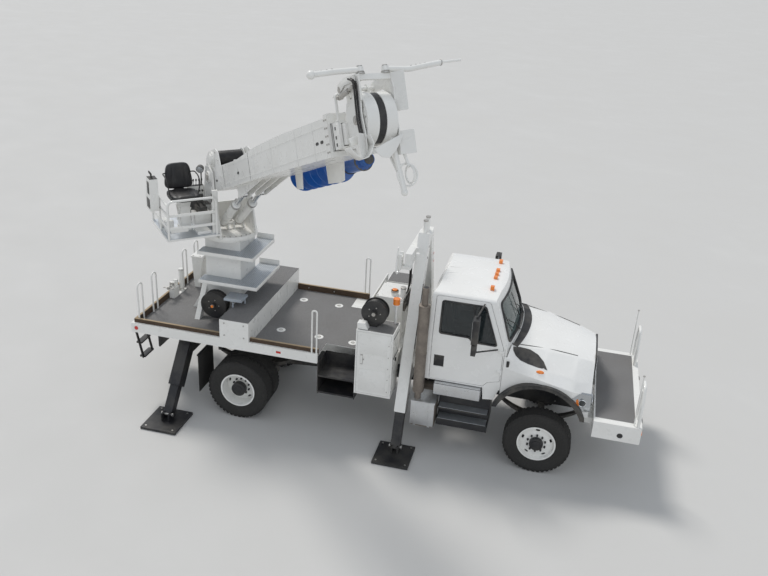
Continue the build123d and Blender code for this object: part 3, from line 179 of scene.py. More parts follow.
def glassy(name, colour, alpha, rough=0.04):
    s = Shader(name)
    s.colour(s.ramp(s.noise(2.2, 4.0), [(0.3, colour), (0.7, tuple(min(1, c * 1.25 + 0.01) for c in colour))]))
    s.values(Roughness=rough, Alpha=alpha, Coat_Weight=0.6, Coat_Roughness=0.03)
    return s.mat


WHITE = paint("white_enamel", (0.8, 0.795, 0.765), 0.3, coat=0.25, soil=0.06)
TRUCK_WHITE = paint("cab_enamel", (0.84, 0.835, 0.81), 0.22, coat=0.5, soil=0.05, scale=1.5)
BLACK = paint("black_enamel", (0.018, 0.018, 0.02), 0.42, dirt=(0.13, 0.12, 0.1), soil=0.25)
BLUE = paint("blue_enamel", (0.014, 0.11, 0.4), 0.35, coat=0.2, soil=0.12)
STEEL = paint("bare_steel", (0.48, 0.47, 0.45), 0.42, metal=0.85, soil=0.25)
IRON = paint("dark_casting", (0.07, 0.068, 0.065), 0.6, metal=0.3, soil=0.3, grain=0.3)
STACK = paint("heated_steel", (0.21, 0.18, 0.155), 0.5, metal=0.5, soil=0.3, scale=6.0)
LAMP = paint("lamp_silver", (0.42, 0.44, 0.46), 0.12, metal=0.9, coat=1.0, soil=0.1, scale=12.0)
# Alloy grey for the pedestal treads with a blue tint: painted reflection of the sky.
SKY_TINT_ALLOY = paint("tread_alloy_sky_reflection_tint", (0.44, 0.49, 0.54), 0.5, metal=0.45, soil=0.1, scale=6.0)
CHROME = paint("polished_chrome", (0.82, 0.83, 0.84), 0.1, metal=1.0, soil=0.04)
ALLOY = paint("brushed_alloy", (0.66, 0.67, 0.68), 0.34, metal=0.9, soil=0.12, scale=8.0)
TREAD = treadplate("dimpled_tread", (0.62, 0.65, 0.68))
GRIT = gritty("deck_coating", (0.12, 0.12, 0.122), (0.23, 0.225, 0.22))
RUBBER = gritty("tyre_rubber", (0.016, 0.016, 0.016), (0.04, 0.038, 0.035), 90.0, 0.4, 0.9)
HOSE = paint("hose_rubber", (0.012, 0.012, 0.013), 0.5, soil=0.1)
PLASTIC = paint("grained_plastic", (0.02, 0.02, 0.021), 0.55, soil=0.15, grain=0.35)
CABIN = paint("cabin_trim", (0.1, 0.098, 0.095), 0.6, soil=0.1, grain=0.3)
WOOD = timber("weathered_board", (0.035, 0.022, 0.014), (0.11, 0.07, 0.042))
# A lighter copy of the board wood for the tops of the deck's side boards: painted light on their tops.
LIT_TOP_TIMBER = timber("board_top_painted_light", (0.26, 0.19, 0.11), (0.46, 0.36, 0.24))
GLASS = glassy("tinted_glass", (0.015, 0.022, 0.024), 0.62)
SCREEN = glassy("screen_glass", (0.075, 0.12, 0.115), 0.55)
LENS = glassy("clear_lens", (0.75, 0.78, 0.8), 0.45)
AMBER = glassy("amber_lens", (0.85, 0.22, 0.02), 0.95, 0.15)
LIME = glassy("lime_lens", (0.42, 0.52, 0.06), 0.95, 0.2)
RED = glassy("red_lens", (0.5, 0.015, 0.01), 0.97, 0.15)
VINYL = paint("seat_vinyl", (0.014, 0.014, 0.016), 0.45, soil=0.05, grain=0.5)

# The CAD nodes that each material covers
COATS = {
    BLACK: "chassis_frame steps hose_reels front_leg_right front_leg_left rear_outrigger rear_leg_right "
           "rear_leg_left",
    IRON: "front_axle rear_axle powertrain knuckle_right knuckle_left tip_sheave",
    ALLOY: "fuel_tank",
    STACK: "exhaust",
    TRUCK_WHITE: "cab_shell door_right door_left hood",
    SCREEN: "cab_glass",
    CABIN: "cab_interior",
    GLASS: "door_glass_right door_glass_left",
    PLASTIC: "grille fender_flares",
    LAMP: "headlamps",
    WHITE: "front_platform grab_rails deck pedestal tail_tools cabinet cabinet_door hydraulic_tank "
           "front_outrigger turret operator_platform lift_barrels boom_outer boom_middle boom_tip pole_guide "
           "tong_right tong_left rims_front_right rims_front_left rims_rear_right rims_rear_left",
    WOOD: "deck_boards",
    SKY_TINT_ALLOY: "pedestal_steps",
    AMBER: "lamps",
    VINYL: "operator_seat",
    CHROME: "lift_rods",
    BLUE: "auger_drive auger",
    RUBBER: "tyres_front_right tyres_front_left tyres_rear_right tyres_rear_left",
}


def soften():
    """A modifier group that welds split corners and keeps only real edges sharp."""
    group = bpy.data.node_groups.new("soft_shading", "GeometryNodeTree")
    for way in ("INPUT", "OUTPUT"):
        group.interface.new_socket("Geometry", in_out=way, socket_type="NodeSocketGeometry")
    start, weld, smooth, sharp, angle, test, end = [group.nodes.new(kind) for kind in (
        "NodeGroupInput", "GeometryNodeMergeByDistance", "GeometryNodeSetShadeSmooth", "GeometryNodeSetShadeSmooth",
        "GeometryNodeInputMeshEdgeAngle", "FunctionNodeCompare", "NodeGroupOutput")]
    weld.inputs["Distance"].default_value = 0.00002
    sharp.domain = "EDGE"
    sharp.inputs["Shade Smooth"].default_value = False
    test.data_type, test.operation = "FLOAT", "GREATER_THAN"
    test.inputs[1].default_value = radians(28)
    for source, target in ((start.outputs[0], weld.inputs["Geometry"]),
                           (weld.outputs["Geometry"], smooth.inputs["Geometry"]),
                           (smooth.outputs["Geometry"], sharp.inputs["Geometry"]),
                           (angle.outputs["Unsigned Angle"], test.inputs[0]),
                           (test.outputs["Result"], sharp.inputs["Selection"]),
                           (sharp.outputs["Geometry"], end.inputs[0])):
        group.links.new(source, target)
    return group


SOFT = soften()


def shade(thing):
    """Puts the soft shading on an object."""
    thing.modifiers.new("shading", "NODES").node_group = SOFT


for coat, names in COATS.items():
    for name in names.split():
        nodes[name].data.materials.clear()
        nodes[name].data.materials.append(coat)
        shade(nodes[name])

# The slot that each material of a piece goes with
SLOTS = {
    WHITE: "white_paint", TRUCK_WHITE: "white_paint", BLACK: "black_paint", STEEL: "steel", STACK: "steel",
    IRON: "iron", CHROME: "chrome", ALLOY: "aluminium", TREAD: "aluminium", GRIT: "deck_grit", RUBBER: "tyre",
    HOSE: "black_plastic", PLASTIC: "black_plastic", CABIN: "interior", LIT_TOP_TIMBER: "wood", GLASS: "glass",
    LENS: "lens", AMBER: "lamp", LIME: "lamp", RED: "lamp", VINYL: "seat",
}


# Making pieces
def across(pair, axis, value):
    """A point from a pair in the plane across an axis and its value on that axis."""
    spot = list(pair)
    spot.insert("xyz".index(axis), value)
    return Vector(spot)


class Piece:
    """Gathers closed forms into one mesh that rides on a body; a twin piece has its mirror image across y too."""
    waiting = []

    def __init__(self, name, coat, body="chassis", place=None, slot=None, bevel=0.0, segments=2, twin=False):
        self.name, self.coat, self.body, self.place = name, coat, body, place or PLACES.get(body, ROW)
        self.slot, self.bevel, self.segments, self.twin = slot or SLOTS[coat], bevel, segments, twin
        self.mesh = bmesh.new()
        Piece.waiting.append(self)

    def box(self, low, high):
        low, high = Vector(low), Vector(high)
        bmesh.ops.create_cube(self.mesh, size=1, matrix=sized((low + high) / 2, high - low))

    def rod(self, start, end, radius, sides=14, end_radius=None):
        start, end = Vector(start), Vector(end)
        run = end - start
        matrix = Matrix.Translation((start + end) / 2) @ run.to_track_quat("Z", "Y").to_matrix().to_4x4()
        bmesh.ops.create_cone(self.mesh, cap_ends=True, segments=sides, radius1=radius,
                              radius2=radius if end_radius is None else end_radius, depth=run.length, matrix=matrix)

    def stud(self, spot, axis, length, radius, sides=6):
        """A short rod that stands on a spot, along an axis."""
        end = list(spot)
        end["xyz".index(axis)] += length
        self.rod(spot, end, radius, sides)

    def studs(self, xs, ys, zs, axis, length, radius, sides=6):
        """A stud at every crossing of the given places."""
        for x in xs:
            for y in ys:
                for z in zs:
                    self.stud((x, y, z), axis, length, radius, sides)

    def stud_ring(self, centre, axis, circle, count, first, length, radius, sides=6):
        """Studs along an axis, evenly spread on a circle about it."""
        for k in range(count):
            turn = tau * (k + first) / count
            spot = across((circle * cos(turn), circle * sin(turn)), axis, 0)
            self.stud(Vector(centre) + spot, axis, length, radius, sides)

    def plate(self, outline, axis, low, high):
        """A prism: an outline of pairs in the plane across an axis, filled between two values on it."""
        self.skin(*[[self.mesh.verts.new(across(pair, axis, value)) for pair in outline] for value in (low, high)])

    def skin(self, near, far):
        """Two facing polygons and the faces that join their edges."""
        self.mesh.faces.new(near)
        self.mesh.faces.new(far[::-1])
        for i in range(len(near)):
            j = (i + 1) % len(near)
            self.mesh.faces.new((near[i], far[i], far[j], near[j]))

    def sleeve(self, one, two):
        """The band of faces between two closed loops of points."""
        for k in range(len(one)):
            j = (k + 1) % len(one)
            self.mesh.faces.new((one[k], one[j], two[j], two[k]))

    def tube(self, points, radius, bend=0.05, sides=10, steps=5):
        """A bent round tube through the points."""
        pts = [Vector(p) for p in points]
        path = [pts[0]]
        for before, here, after in zip(pts, pts[1:], pts[2:]):
            a, b = (before - here), (after - here)
            cut = min(bend, a.length * 0.48, b.length * 0.48)
            first, last = here + a.normalized() * cut, here + b.normalized() * cut
            for i in range(steps + 1):
                t = i / steps
                path.append(first.lerp(here, t).lerp(here.lerp(last, t), t))
        path.append(pts[-1])
        side = (path[1] - path[0]).orthogonal()
        rings = []
        for i, spot in enumerate(path):
            tangent = (path[min(i + 1, len(path) - 1)] - path[max(i - 1, 0)]).normalized()
            side = (side - tangent * side.dot(tangent)).normalized()
            other = tangent.cross(side)
            rings.append([self.mesh.verts.new(spot + (side * cos(w) + other * sin(w)) * radius)
                          for w in (tau * k / sides for k in range(sides))])
        for one, two in zip(rings, rings[1:]):
            self.sleeve(one, two)
        self.mesh.faces.new(rings[0][::-1])
        self.mesh.faces.new(rings[-1])

    def ring(self, centre, axis, radius, thick, sides=8, steps=32):
        """A round ring about an axis."""
        centre, loops = Vector(centre), []
        for i in range(steps):
            turn = tau * i / steps
            loops.append([])
            for k in range(sides):
                swing = tau * k / sides
                reach = radius + thick * cos(swing)
                spot = across((reach * cos(turn), reach * sin(turn)), axis, thick * sin(swing))
                loops[-1].append(self.mesh.verts.new(centre + spot))
        for one, two in zip(loops, loops[1:] + loops[:1]):
            self.sleeve(one, two)

    def done(self):
        """Turns the gathered forms into an object on its body."""
        if self.twin:
            copied = bmesh.ops.duplicate(self.mesh, geom=[*self.mesh.verts, *self.mesh.edges, *self.mesh.faces])
            for item in copied["geom"]:
                if isinstance(item, bmesh.types.BMVert):
                    item.co.y = -item.co.y
            self.mesh.normal_update()
        bmesh.ops.recalc_face_normals(self.mesh, faces=self.mesh.faces)
        data = bpy.data.meshes.new(self.name)
        self.mesh.to_mesh(data)
        self.mesh.free()
        data.transform(self.place)
        data.materials.append(self.coat)
        made = bpy.data.objects.new(self.name, data)
        bpy.context.scene.collection.objects.link(made)
        if self.bevel:
            round_off = made.modifiers.new("edge", "BEVEL")
            round_off.width, round_off.segments = self.bevel, self.segments
            round_off.limit_method, round_off.angle_limit = "ANGLE", radians(40)
        shade(made)
        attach(made, self.body)
        return made


def finish_pieces():
    """Finishes the pieces begun so far, in their order, and hands back the last of them."""
    for piece in Piece.waiting:
        made = piece.done()
    Piece.waiting.clear()
    return made


SIDES = ((-1, "right"), (1, "left"))

# Wheels
HUB_Z = 0.53
NUT_CIRCLE = 0.1425
LUGS = 44
REAR_AXLE_X = -5.0


def wheel(name, x, side, centres, nut_face, hub_radius, hub_face, shade_disc_face):
    """Tread lugs, the dark hub cap, the wheel nuts and a black disc of painted shade behind the rim's slots."""
    lugs = Piece("tread_" + name, RUBBER, "wheel_" + name)
    for y in centres:
        for k in range(LUGS):
            for edge in (-1, 1):
                turn = tau * (k + 0.25 * edge) / LUGS
                place = Matrix.Translation((x, side * y, HUB_Z)) @ Matrix.Rotation(turn, 4, "Y")
                for offset, out, size in ((0.088, 0.519, (0.046, 0.074, 0.021)),
                                          (0.024, 0.5195, (0.052, 0.034, 0.021))):
                    bmesh.ops.create_cube(lugs.mesh, size=1, matrix=place @ sized((0, edge * offset, out), size))
    p = Piece("hub_" + name, BLACK, "wheel_" + name, slot="iron", bevel=0.003)
    p.stud((x, side * (hub_face - 0.09), HUB_Z), "y", side * 0.09, hub_radius, 28)
    p.stud((x, side * hub_face, HUB_Z), "y", side * 0.012, hub_radius * 0.6, 20)
    # A black disc behind the rim's slots: painted shade seen through them.
    p.stud((x, side * shade_disc_face, HUB_Z), "y", -side * 0.006, 0.256, 40)
    for k in range(10):
        turn = tau * (k + 0.5) / 10
        h, z = x + NUT_CIRCLE * cos(turn), HUB_Z + NUT_CIRCLE * sin(turn)
        p.stud((h, side * (nut_face - 0.01), z), "y", side * 0.04, 0.0175)
        p.stud((h, side * nut_face, z), "y", side * 0.044, 0.009, 8)


for side, name in SIDES:
    wheel("front_" + name, 0, side, (1.028,), 1.118, 0.107, 1.181, 1.072)
    wheel("rear_" + name, REAR_AXLE_X, side, (1.072, 0.756), 1.022, 0.122, 1.174, 0.976)


# Cab
def screen_spot(y, z, out=0.0):
    """A point on the raked, bowed windscreen."""
    return (-0.64 + 0.13 * (1 - y * y) - 0.4 * (z - 2.01) + out, y, z)


def side_spot(x, z, side, out=0.0):
    """A point on the cab's side above the belt line."""
    return (x, side * (1.0 - 0.18333 * max(0.0, z - 2.01) + out), z)


def seal(name, body, points, radius, bend):
    """A closed rubber bead round an opening."""
    middle = [(points[0][i] + points[1][i]) / 2 for i in range(3)]
    Piece(name, PLASTIC, body).tube([middle, *points[1:], points[0], middle], radius, bend, 8, 6)


screen = [(-0.86, 2.075), (0.86, 2.075), (0.745, 2.64), (-0.745, 2.64)]
seal("screen_seal", "chassis",
     [screen_spot(y0 + (y1 - y0) * t, z0 + (z1 - z0) * t, 0.004)
      for (y0, z0), (y1, z1) in zip(screen, screen[1:] + screen[:1]) for t in (0, 0.33, 0.66)], 0.022, 0.07)
seal("rear_window_seal", "chassis",
     [(-1.874, -0.42, 2.12), (-1.874, 0.42, 2.12), (-1.874, 0.42, 2.5), (-1.874, -0.42, 2.5)], 0.014, 0.05)
window = [(-1.7, 2.11), (-1.23, 2.105), (-1.18, 2.04), (-0.8, 2.04), (-1.035, 2.62), (-1.7, 2.62)]
for side, name in SIDES:
    body = "door_" + name
    seal("window_seal_" + name, body, [side_spot(x, z, side, 0.001) for x, z in window], 0.014, 0.035)
    p = Piece("door_trim_" + name, PLASTIC, body, bevel=0.012, segments=3)
    p.rod(side_spot(-1.21, 2.615, side, -0.012), side_spot(-1.145, 2.05, side, -0.012), 0.016, 8)
    p.box((-1.75, side * 0.985, 1.53), (-1.59, side * 0.992, 1.73))
    p.box((-1.735, side * 0.99, 1.655), (-1.605, side * 1.004, 1.685))
    y = side * 1.35
    p.box((-1.156, y - 0.101, 2.234), (-1.064, y + 0.101, 2.626))
    p.box((-1.146, y - 0.096, 2.044), (-1.074, y + 0.096, 2.216))
    p.tube([side_spot(-0.78, 1.985, side), (-1.11, y, 2.06)], 0.0135, 0.02, 8)
    p.tube([side_spot(-1.06, 2.655, side), (-1.11, y, 2.64)], 0.0135, 0.02, 8)
    p.rod((-1.11, y, 2.028), (-1.11, y, 2.662), 0.0135, 8)
    p = Piece("mirror_faces_" + name, CHROME, body)
    p.box((-1.159, y - 0.088, 2.25), (-1.1555, y + 0.088, 2.61))
    p.box((-1.149, y - 0.083, 2.057), (-1.1455, y + 0.083, 2.203))
p = Piece("roof_ribs", TRUCK_WHITE)
for y in (-0.6, -0.36, -0.12, 0.12, 0.36, 0.6):
    crown = 2.81 - 0.08 * (y / 0.868) ** 2
    p.tube([(-1.78, y, crown - 0.042), (-1.7, y, crown - 0.036), (-1.16, y, crown - 0.036),
            (-1.08, y, crown - 0.046)], 0.018, 0.05, 8)
p = Piece("wipers", PLASTIC)
for y0, y1 in ((-0.3, -0.78), (0.34, -0.16)):
    p.tube([screen_spot(y0, 2.05, 0.03), screen_spot((y0 + y1) / 2, 2.26, 0.05), screen_spot(y1, 2.42, 0.028)],
           0.007, 0.1, 6)
    p.tube([screen_spot(y1 + 0.1, 2.18, 0.02), screen_spot(y1, 2.6, 0.02)], 0.006, 0.02, 6)

# Hood
hood_rows = [
    # x, side y, side z, shoulder y, shoulder z, top y, top z
    (-0.69, 0.99, 1.69, 0.955, 1.86, 0.83, 2.01),
    (-0.05, 1.12, 1.64, 1.01, 1.76, 0.7, 1.96),
    (0.43, 1.09, 1.52, 0.96, 1.65, 0.6, 1.86),
    (0.705, 0.96, 1.44, 0.8, 1.56, 0.5, 1.79),
]


def hood_spot(x, s, side, band=1, out=0.0):
    """A point on the hood's side: band 0 runs from side to shoulder, band 1 from shoulder to top."""
    for one, two in zip(hood_rows, hood_rows[1:]):
        if x <= two[0] or two is hood_rows[-1]:
            t = (x - one[0]) / (two[0] - one[0])
            row = [a + (b - a) * t for a, b in zip(one, two)]
            break
    low, high = (row[1 + 2 * band], row[2 + 2 * band]), (row[3 + 2 * band], row[4 + 2 * band])
    along = (high[0] - low[0], high[1] - low[1])
    size = hypot(*along)
    normal = (along[1] / size, -along[0] / size)
    return Vector((x, side * (low[0] + along[0] * s + normal[0] * out), low[1] + along[1] * s + normal[1] * out))


vent = [(-0.56, 0.93), (-0.45, 0.96), (-0.3, 0.9), (-0.17, 0.7), (-0.07, 0.42), (0.0, 0.08), (-0.14, 0.06),
        (-0.3, 0.08), (-0.42, 0.14), (-0.5, 0.34), (-0.55, 0.66)]
for side, name in SIDES:
    p = Piece("hood_vent_" + name, PLASTIC, "hood")
    p.skin(*[[p.mesh.verts.new(hood_spot(x, s, side, 1, out)) for x, s in vent] for out in (-0.004, 0.006)])
    p = Piece("side_marker_" + name, AMBER, "hood")
    bmesh.ops.create_uvsphere(p.mesh, u_segments=16, v_segments=8, radius=1,
                              matrix=sized(hood_spot(-0.1, 0.75, side, 0), (0.062, 0.022, 0.03)))
    p = Piece("hood_seam_" + name, PLASTIC, "hood")
    p.tube([hood_spot(x, 1.0, side) + Vector((0, -side * 0.05, 0.012)) for x in (-0.6, -0.3, 0.1, 0.43)],
           0.006, 0.1, 6)
bowls = Piece("lamp_bowls", CHROME, "hood", twin=True)
eyes = Piece("lamp_eyes", GLASS, "hood", twin=True)
for y, z, r in ((0.915, 1.325, 0.072), (0.785, 1.31, 0.052)):
    bowls.ring((0.7335, y, z), "x", r, 0.008)
    eyes.stud((0.733, y, z), "x", 0.004, r, 28)
bowls.ring((0.585, 1.069, 1.345), "y", 0.056, 0.007)
eyes.stud((0.585, 1.066, 1.345), "y", 0.007, 0.055, 28)
p = Piece("lamp_amber", AMBER, "hood", bevel=0.003, twin=True)
p.plate([(0.46, 1.385), (0.52, 1.3), (0.545, 1.3), (0.52, 1.41)], "y", 1.075, 1.087)
p = Piece("cowl_panel", PLASTIC, "hood")
rows = []
for k in range(25):
    y = -0.8 + k / 15
    inner = -0.614 + 0.13 * (1 - (y / 0.954) ** 2)
    corners = []
    for x in (inner, inner + 0.13 - 0.07 * y * y):
        t = (x + 0.69) / 0.64
        crown, edge, reach = 2.075 - 0.055 * t, 2.01 - 0.05 * t, 0.83 - 0.13 * t
        z = crown - (crown - edge) * (y / reach) ** 2
        corners += [(x, y, z - 0.006), (x, y, z + 0.006)]
    rows.append([p.mesh.verts.new(corners[i]) for i in (0, 1, 3, 2)])
for one, two in zip(rows, rows[1:]):
    p.sleeve(one, two)
for row in (rows[0], rows[-1]):
    p.mesh.faces.new(row)

# Lower cab side
Piece("step_box_skin", ALLOY, bevel=0.02, segments=3).box((-1.712, -1.084, 1.058), (-0.958, -0.516, 1.265))
p = Piece("cab_step_treads", TREAD)
p.box((-1.6, -1.092, 0.641), (-0.82, -0.905, 0.646))
p.box((-1.6, -1.062, 0.831), (-0.82, -0.905, 0.836))
STACK_LINE = (-1.945, -1.09)
p = Piece("stack_shield", STACK, bevel=0.002)
for z in (1.1, 1.75, 2.565):
    p.stud((*STACK_LINE, z), "z", 0.03, 0.0925, 32)
p.stud((*STACK_LINE, 2.868), "z", 0.016, 0.053, 24)
p = Piece("muffler_cover", ALLOY, bevel=0.008, segments=3)
p.box((-2.033, -1.203, 0.93), (-1.637, -0.797, 0.953))
p.box((-2.025, -1.2035, 0.52), (-1.645, -1.199, 0.935))
for x in (-1.95, -1.72):
    p.box((x - 0.02, -1.207, 0.5), (x + 0.02, -1.2, 0.955))
# A black disc in the stack's opening: soot and painted shade of the hollow pipe.
Piece("stack_mouth_soot_and_shade", BLACK).stud((*STACK_LINE, 2.878), "z", 0.0075, 0.044, 20)
p = Piece("tank_straps", BLACK)
for x in (-1.56, -1.28, -1.0):
    for k in range(24):
        turn = tau * k / 24
        spot = Vector((x, 0.76 + 0.292 * cos(turn), 0.85 + 0.292 * sin(turn)))
        p.box(spot - Vector((0.03, 0.003, 0.003)), spot + Vector((0.03, 0.003, 0.003)))

# Deck and platform
DECK_LOW, DECK_TOP = 1.449, 1.4525
p = Piece("deck_coating", GRIT)
p.box((-6.848, -1.138, DECK_LOW), (-5.285, 1.138, DECK_TOP))
p.box((-4.774, -1.138, DECK_LOW), (-3.602, 1.138, DECK_TOP))
p.box((-3.602, -0.738, DECK_LOW), (-2.982, 0.738, DECK_TOP))
p.box((-5.281, -1.218, 1.8375), (-4.778, 1.218, 1.8415))
p.box((0.812, -1.098, 1.1715), (1.403, 1.098, 1.1745))
discs = Piece("deck_discs", WHITE)
rings = Piece("tie_rings", STEEL)
for x, y in ((-4.5, 0.715), (-3.82, 0.7), (-4.47, -0.54), (-3.785, -0.565), (-3.19, -0.576)):
    discs.stud((x, y, 1.45), "z", 0.006, 0.075, 28)
    rings.tube([(x - 0.035, y, 1.457), (x, y + 0.03, 1.46), (x + 0.035, y, 1.457), (x, y - 0.03, 1.46),
                (x - 0.035, y, 1.457)], 0.006, 0.02, 6)
p = Piece("tail_lenses", RED, twin=True)
p.studs((-6.9015,), (1.13, 0.92), (1.41,), "x", -0.005, 0.04, 20)
p.box((-4.3, 1.218, 1.39), (-4.22, 1.2225, 1.43))


# Soft goods
def cushion(name, body, place, half, hollow=0.0, seams=(), taper=0.0):
    """A stuffed pad, crowned on every face and sewn across, with its thickness along the local Z axis."""
    pad = Piece(name, VINYL, body, place)
    bmesh.ops.create_cube(pad.mesh, size=2)
    bmesh.ops.subdivide_edges(pad.mesh, edges=pad.mesh.edges, cuts=15, use_grid_fill=True)
    for vert in pad.mesh.verts:
        x, y, z = vert.co
        size = (abs(x) ** 5 + abs(y) ** 5 + abs(z) ** 5) ** 0.2
        x, y, z = x / size, y / size, z / size
        thick = 1 - 0.16 * (x * x + y * y)
        for seam in seams:
            thick -= 0.16 * exp(-((y - seam) / 0.06) ** 2)
        if z > 0:
            thick -= hollow * exp(-2.2 * (x * x + y * y))
        crease = lumps.noise(Vector((x * 3.1, y * 3.1, z * 2.0 + half[0] * 40))) * 0.035
        swell = 1 + crease * 0.3
        vert.co = (x * half[0] * swell, y * half[1] * swell * (1 + taper * x), z * thick * half[2] * (1 + crease))
    made = finish_pieces()
    smooth = made.modifiers.new("smooth", "SUBSURF")
    smooth.levels = smooth.render_levels = 1
    made.modifiers.move(1, 0)


SEAT_L = -0.78
seat_spot = TURRET @ Matrix.Translation((0.04, SEAT_L, 3.632))
cushion("operator_cushion", "turret", seat_spot, (0.24, 0.24, 0.072), 0.22, (-0.55, 0.55))
back_spot = TURRET @ placed((-0.245, SEAT_L, 3.885), 85)
cushion("operator_backrest", "turret", back_spot, (0.21, 0.215, 0.058), 0.18, (-0.5, 0.5), 0.13)
p = Piece("operator_seat_stand", WHITE, "turret", bevel=0.006)
p.plate([(-0.15, 3.063), (0.15, 3.063), (0.11, 3.12), (0.11, 3.46), (0.17, 3.545), (0.17, 3.572), (-0.19, 3.572),
         (-0.19, 3.545), (-0.11, 3.46), (-0.11, 3.12)], "y", -0.86, -0.7)
for y in (-0.866, -0.694):
    p.rod((-0.1, y, 3.18), (0.12, y, 3.44), 0.011, 8)
    p.rod((0.1, y, 3.18), (-0.12, y, 3.44), 0.011, 8)
finish_pieces()
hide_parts("operator_seat")
p = Piece("operator_armrests", PLASTIC, "turret")
p.plate([(-0.21, 3.575), (-0.17, 3.575), (-0.255, 3.75), (-0.285, 3.75)], "y", -0.86, -0.7)
for side in (-1, 1):
    y = SEAT_L + side * 0.265
    p.tube([(-0.26, SEAT_L + side * 0.19, 3.93), (-0.2, y, 3.95), (0.02, y, 3.93), (0.11, y, 3.84),
            (0.09, SEAT_L + side * 0.225, 3.62)], 0.0105, 0.09, 8)
for side, name in SIDES:
    y = side * 0.45
    cushion("cab_cushion_" + name, "chassis", Matrix.Translation((-1.43, y, 1.72)), (0.24, 0.255, 0.07), 0.18,
            (-0.5, 0.5))
    lean = placed((-1.665, y, 2.08), 81)
    cushion("cab_backrest_" + name, "chassis", lean, (0.34, 0.235, 0.062), 0.14, (-0.5, 0.5))
p = Piece("dashboard", CABIN, bevel=0.012, segments=3)
p.plate([(-0.79, 1.36), (-0.725, 1.36), (-0.725, 1.985), (-0.8, 1.995), (-0.93, 1.965), (-1.0, 1.93),
         (-0.985, 1.86), (-0.9, 1.79), (-0.82, 1.74)], "y", -0.87, 0.87)
p.plate([(-0.82, 1.97), (-1.03, 1.94), (-1.02, 1.99), (-0.9, 2.02)], "y", 0.27, 0.67)
for y in (-0.45, 0.45):
    p.plate([(-1.64, 1.356), (-1.21, 1.356), (-1.24, 1.5), (-1.2, 1.66), (-1.66, 1.66), (-1.6, 1.5)], "y",
            y - 0.24, y + 0.24)
p.rod((-1.01, 0.47, 1.87), (-1.09, 0.47, 1.99), 0.028, 16)
finish_pieces()
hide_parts("cab_interior")
p = Piece("steering_wheel", PLASTIC, place=placed((-1.1, 0.47, 1.995), -35))
p.ring((0, 0, 0), "z", 0.2, 0.015, 10, 40)
p.rod((0, 0, -0.03), (0, 0, 0.02), 0.055, 20)
for k in range(3):
    turn = tau * (k / 3 + 0.25)
    p.rod((0, 0, 0), (0.195 * cos(turn), 0.195 * sin(turn), 0), 0.013, 8)

# Operator platform
PLATE_LOW, PLATE_TOP = 3.0602, 3.064
BASE = 3.0635
CONSOLE_ROW = [-0.6 + 0.048 * k for k in range(6)]
p = Piece("platform_floor_plate", TREAD, "turret")
p.box((-0.552, -1.178, PLATE_LOW), (0.492, -0.868, PLATE_TOP))
p.box((-0.552, -0.692, PLATE_LOW), (0.492, -0.332, PLATE_TOP))
p.box((-0.552, -0.868, PLATE_LOW), (-0.16, -0.692, PLATE_TOP))
p.box((0.16, -0.868, PLATE_LOW), (0.492, -0.692, PLATE_TOP))
p = Piece("platform_boxes", WHITE, "turret", bevel=0.008, segments=3)
p.box((0.2, -0.68, BASE), (0.43, -0.46, 3.115))
p.box((-0.14, -0.62, BASE), (0.08, -0.345, 3.3))
p.box((0.452, -1.12, 3.16), (0.466, -0.84, 3.24))
p.box((-0.33, -1.13, BASE), (-0.12, -0.97, 3.16))
p.plate([(0.02, BASE), (0.16, BASE), (0.1, 3.24), (0.04, 3.24)], "y", -1.12, -0.98)
p = Piece("platform_valves", IRON, "turret", bevel=0.003)
for k in range(4):
    h = -0.111 + 0.052 * k
    p.box((h - 0.019, -0.56, 3.295), (h + 0.019, -0.4, 3.4))
    p.rod((h, -0.52, 3.395), (h, -0.53, 3.46), 0.008, 8)
    p.tube([(h, -0.44, 3.39), (h, -0.44, 3.44), (h, -0.338, 3.44)], 0.009, 0.03, 8)
p = Piece("control_levers", PLASTIC, "turret", bevel=0.002, segments=1)
for k in range(5):
    h = -0.05 + 0.032 * k
    p.rod((h, -1.262, 3.955), (h - 0.004, -1.285, 4.035), 0.005, 8)
    p.rod((h - 0.004, -1.285, 4.03), (h - 0.005, -1.293, 4.062), 0.013, 12, 0.01)
for y in CONSOLE_ROW:
    p.rod((-0.36, y, 3.635), (-0.345, y, 3.735), 0.0055, 8)
    p.rod((-0.345, y, 3.73), (-0.34, y, 3.765), 0.014, 12, 0.011)
    p.stud((-0.338, y, 3.56), "x", 0.028, 0.015, 12)
p.box((-0.088, -1.326, 3.9602), (0.098, -1.199, 3.967))
p.box((-0.06, -1.334, 3.7), (0.06, -1.3302, 3.9))
p.box((-0.415, -0.615, 3.6402), (-0.345, -0.327, 3.648))
p = Piece("console_panels", CABIN, "turret", bevel=0.004)
p.box((-0.13, -1.336, 3.46), (0.05, -1.3302, 3.62))
p.box((-0.332, -0.6, 3.12), (-0.3398, -0.35, 3.5))
p.box((0.404, -0.438, 3.6), (0.445, -0.4302, 3.74))
p.stud((-0.36, -0.36, 3.64), "z", 0.28, 0.012, 10)
p.rod((-0.36, -0.36, 3.95), (-0.3, -0.4, 3.93), 0.058, 20, 0.066)
p = Piece("work_lamp_lens", LENS, "turret", bevel=0.003)
p.rod((-0.301, -0.3995, 3.9302), (-0.296, -0.403, 3.928), 0.058, 20)
p = Piece("control_hoses", HOSE, "turret")
for y in CONSOLE_ROW:
    p.tube([(-0.422, y, 3.45), (-0.433, y, 3.4), (-0.433, y, 3.16), (-0.432, y, 3.066)], 0.01, 0.03, 8)

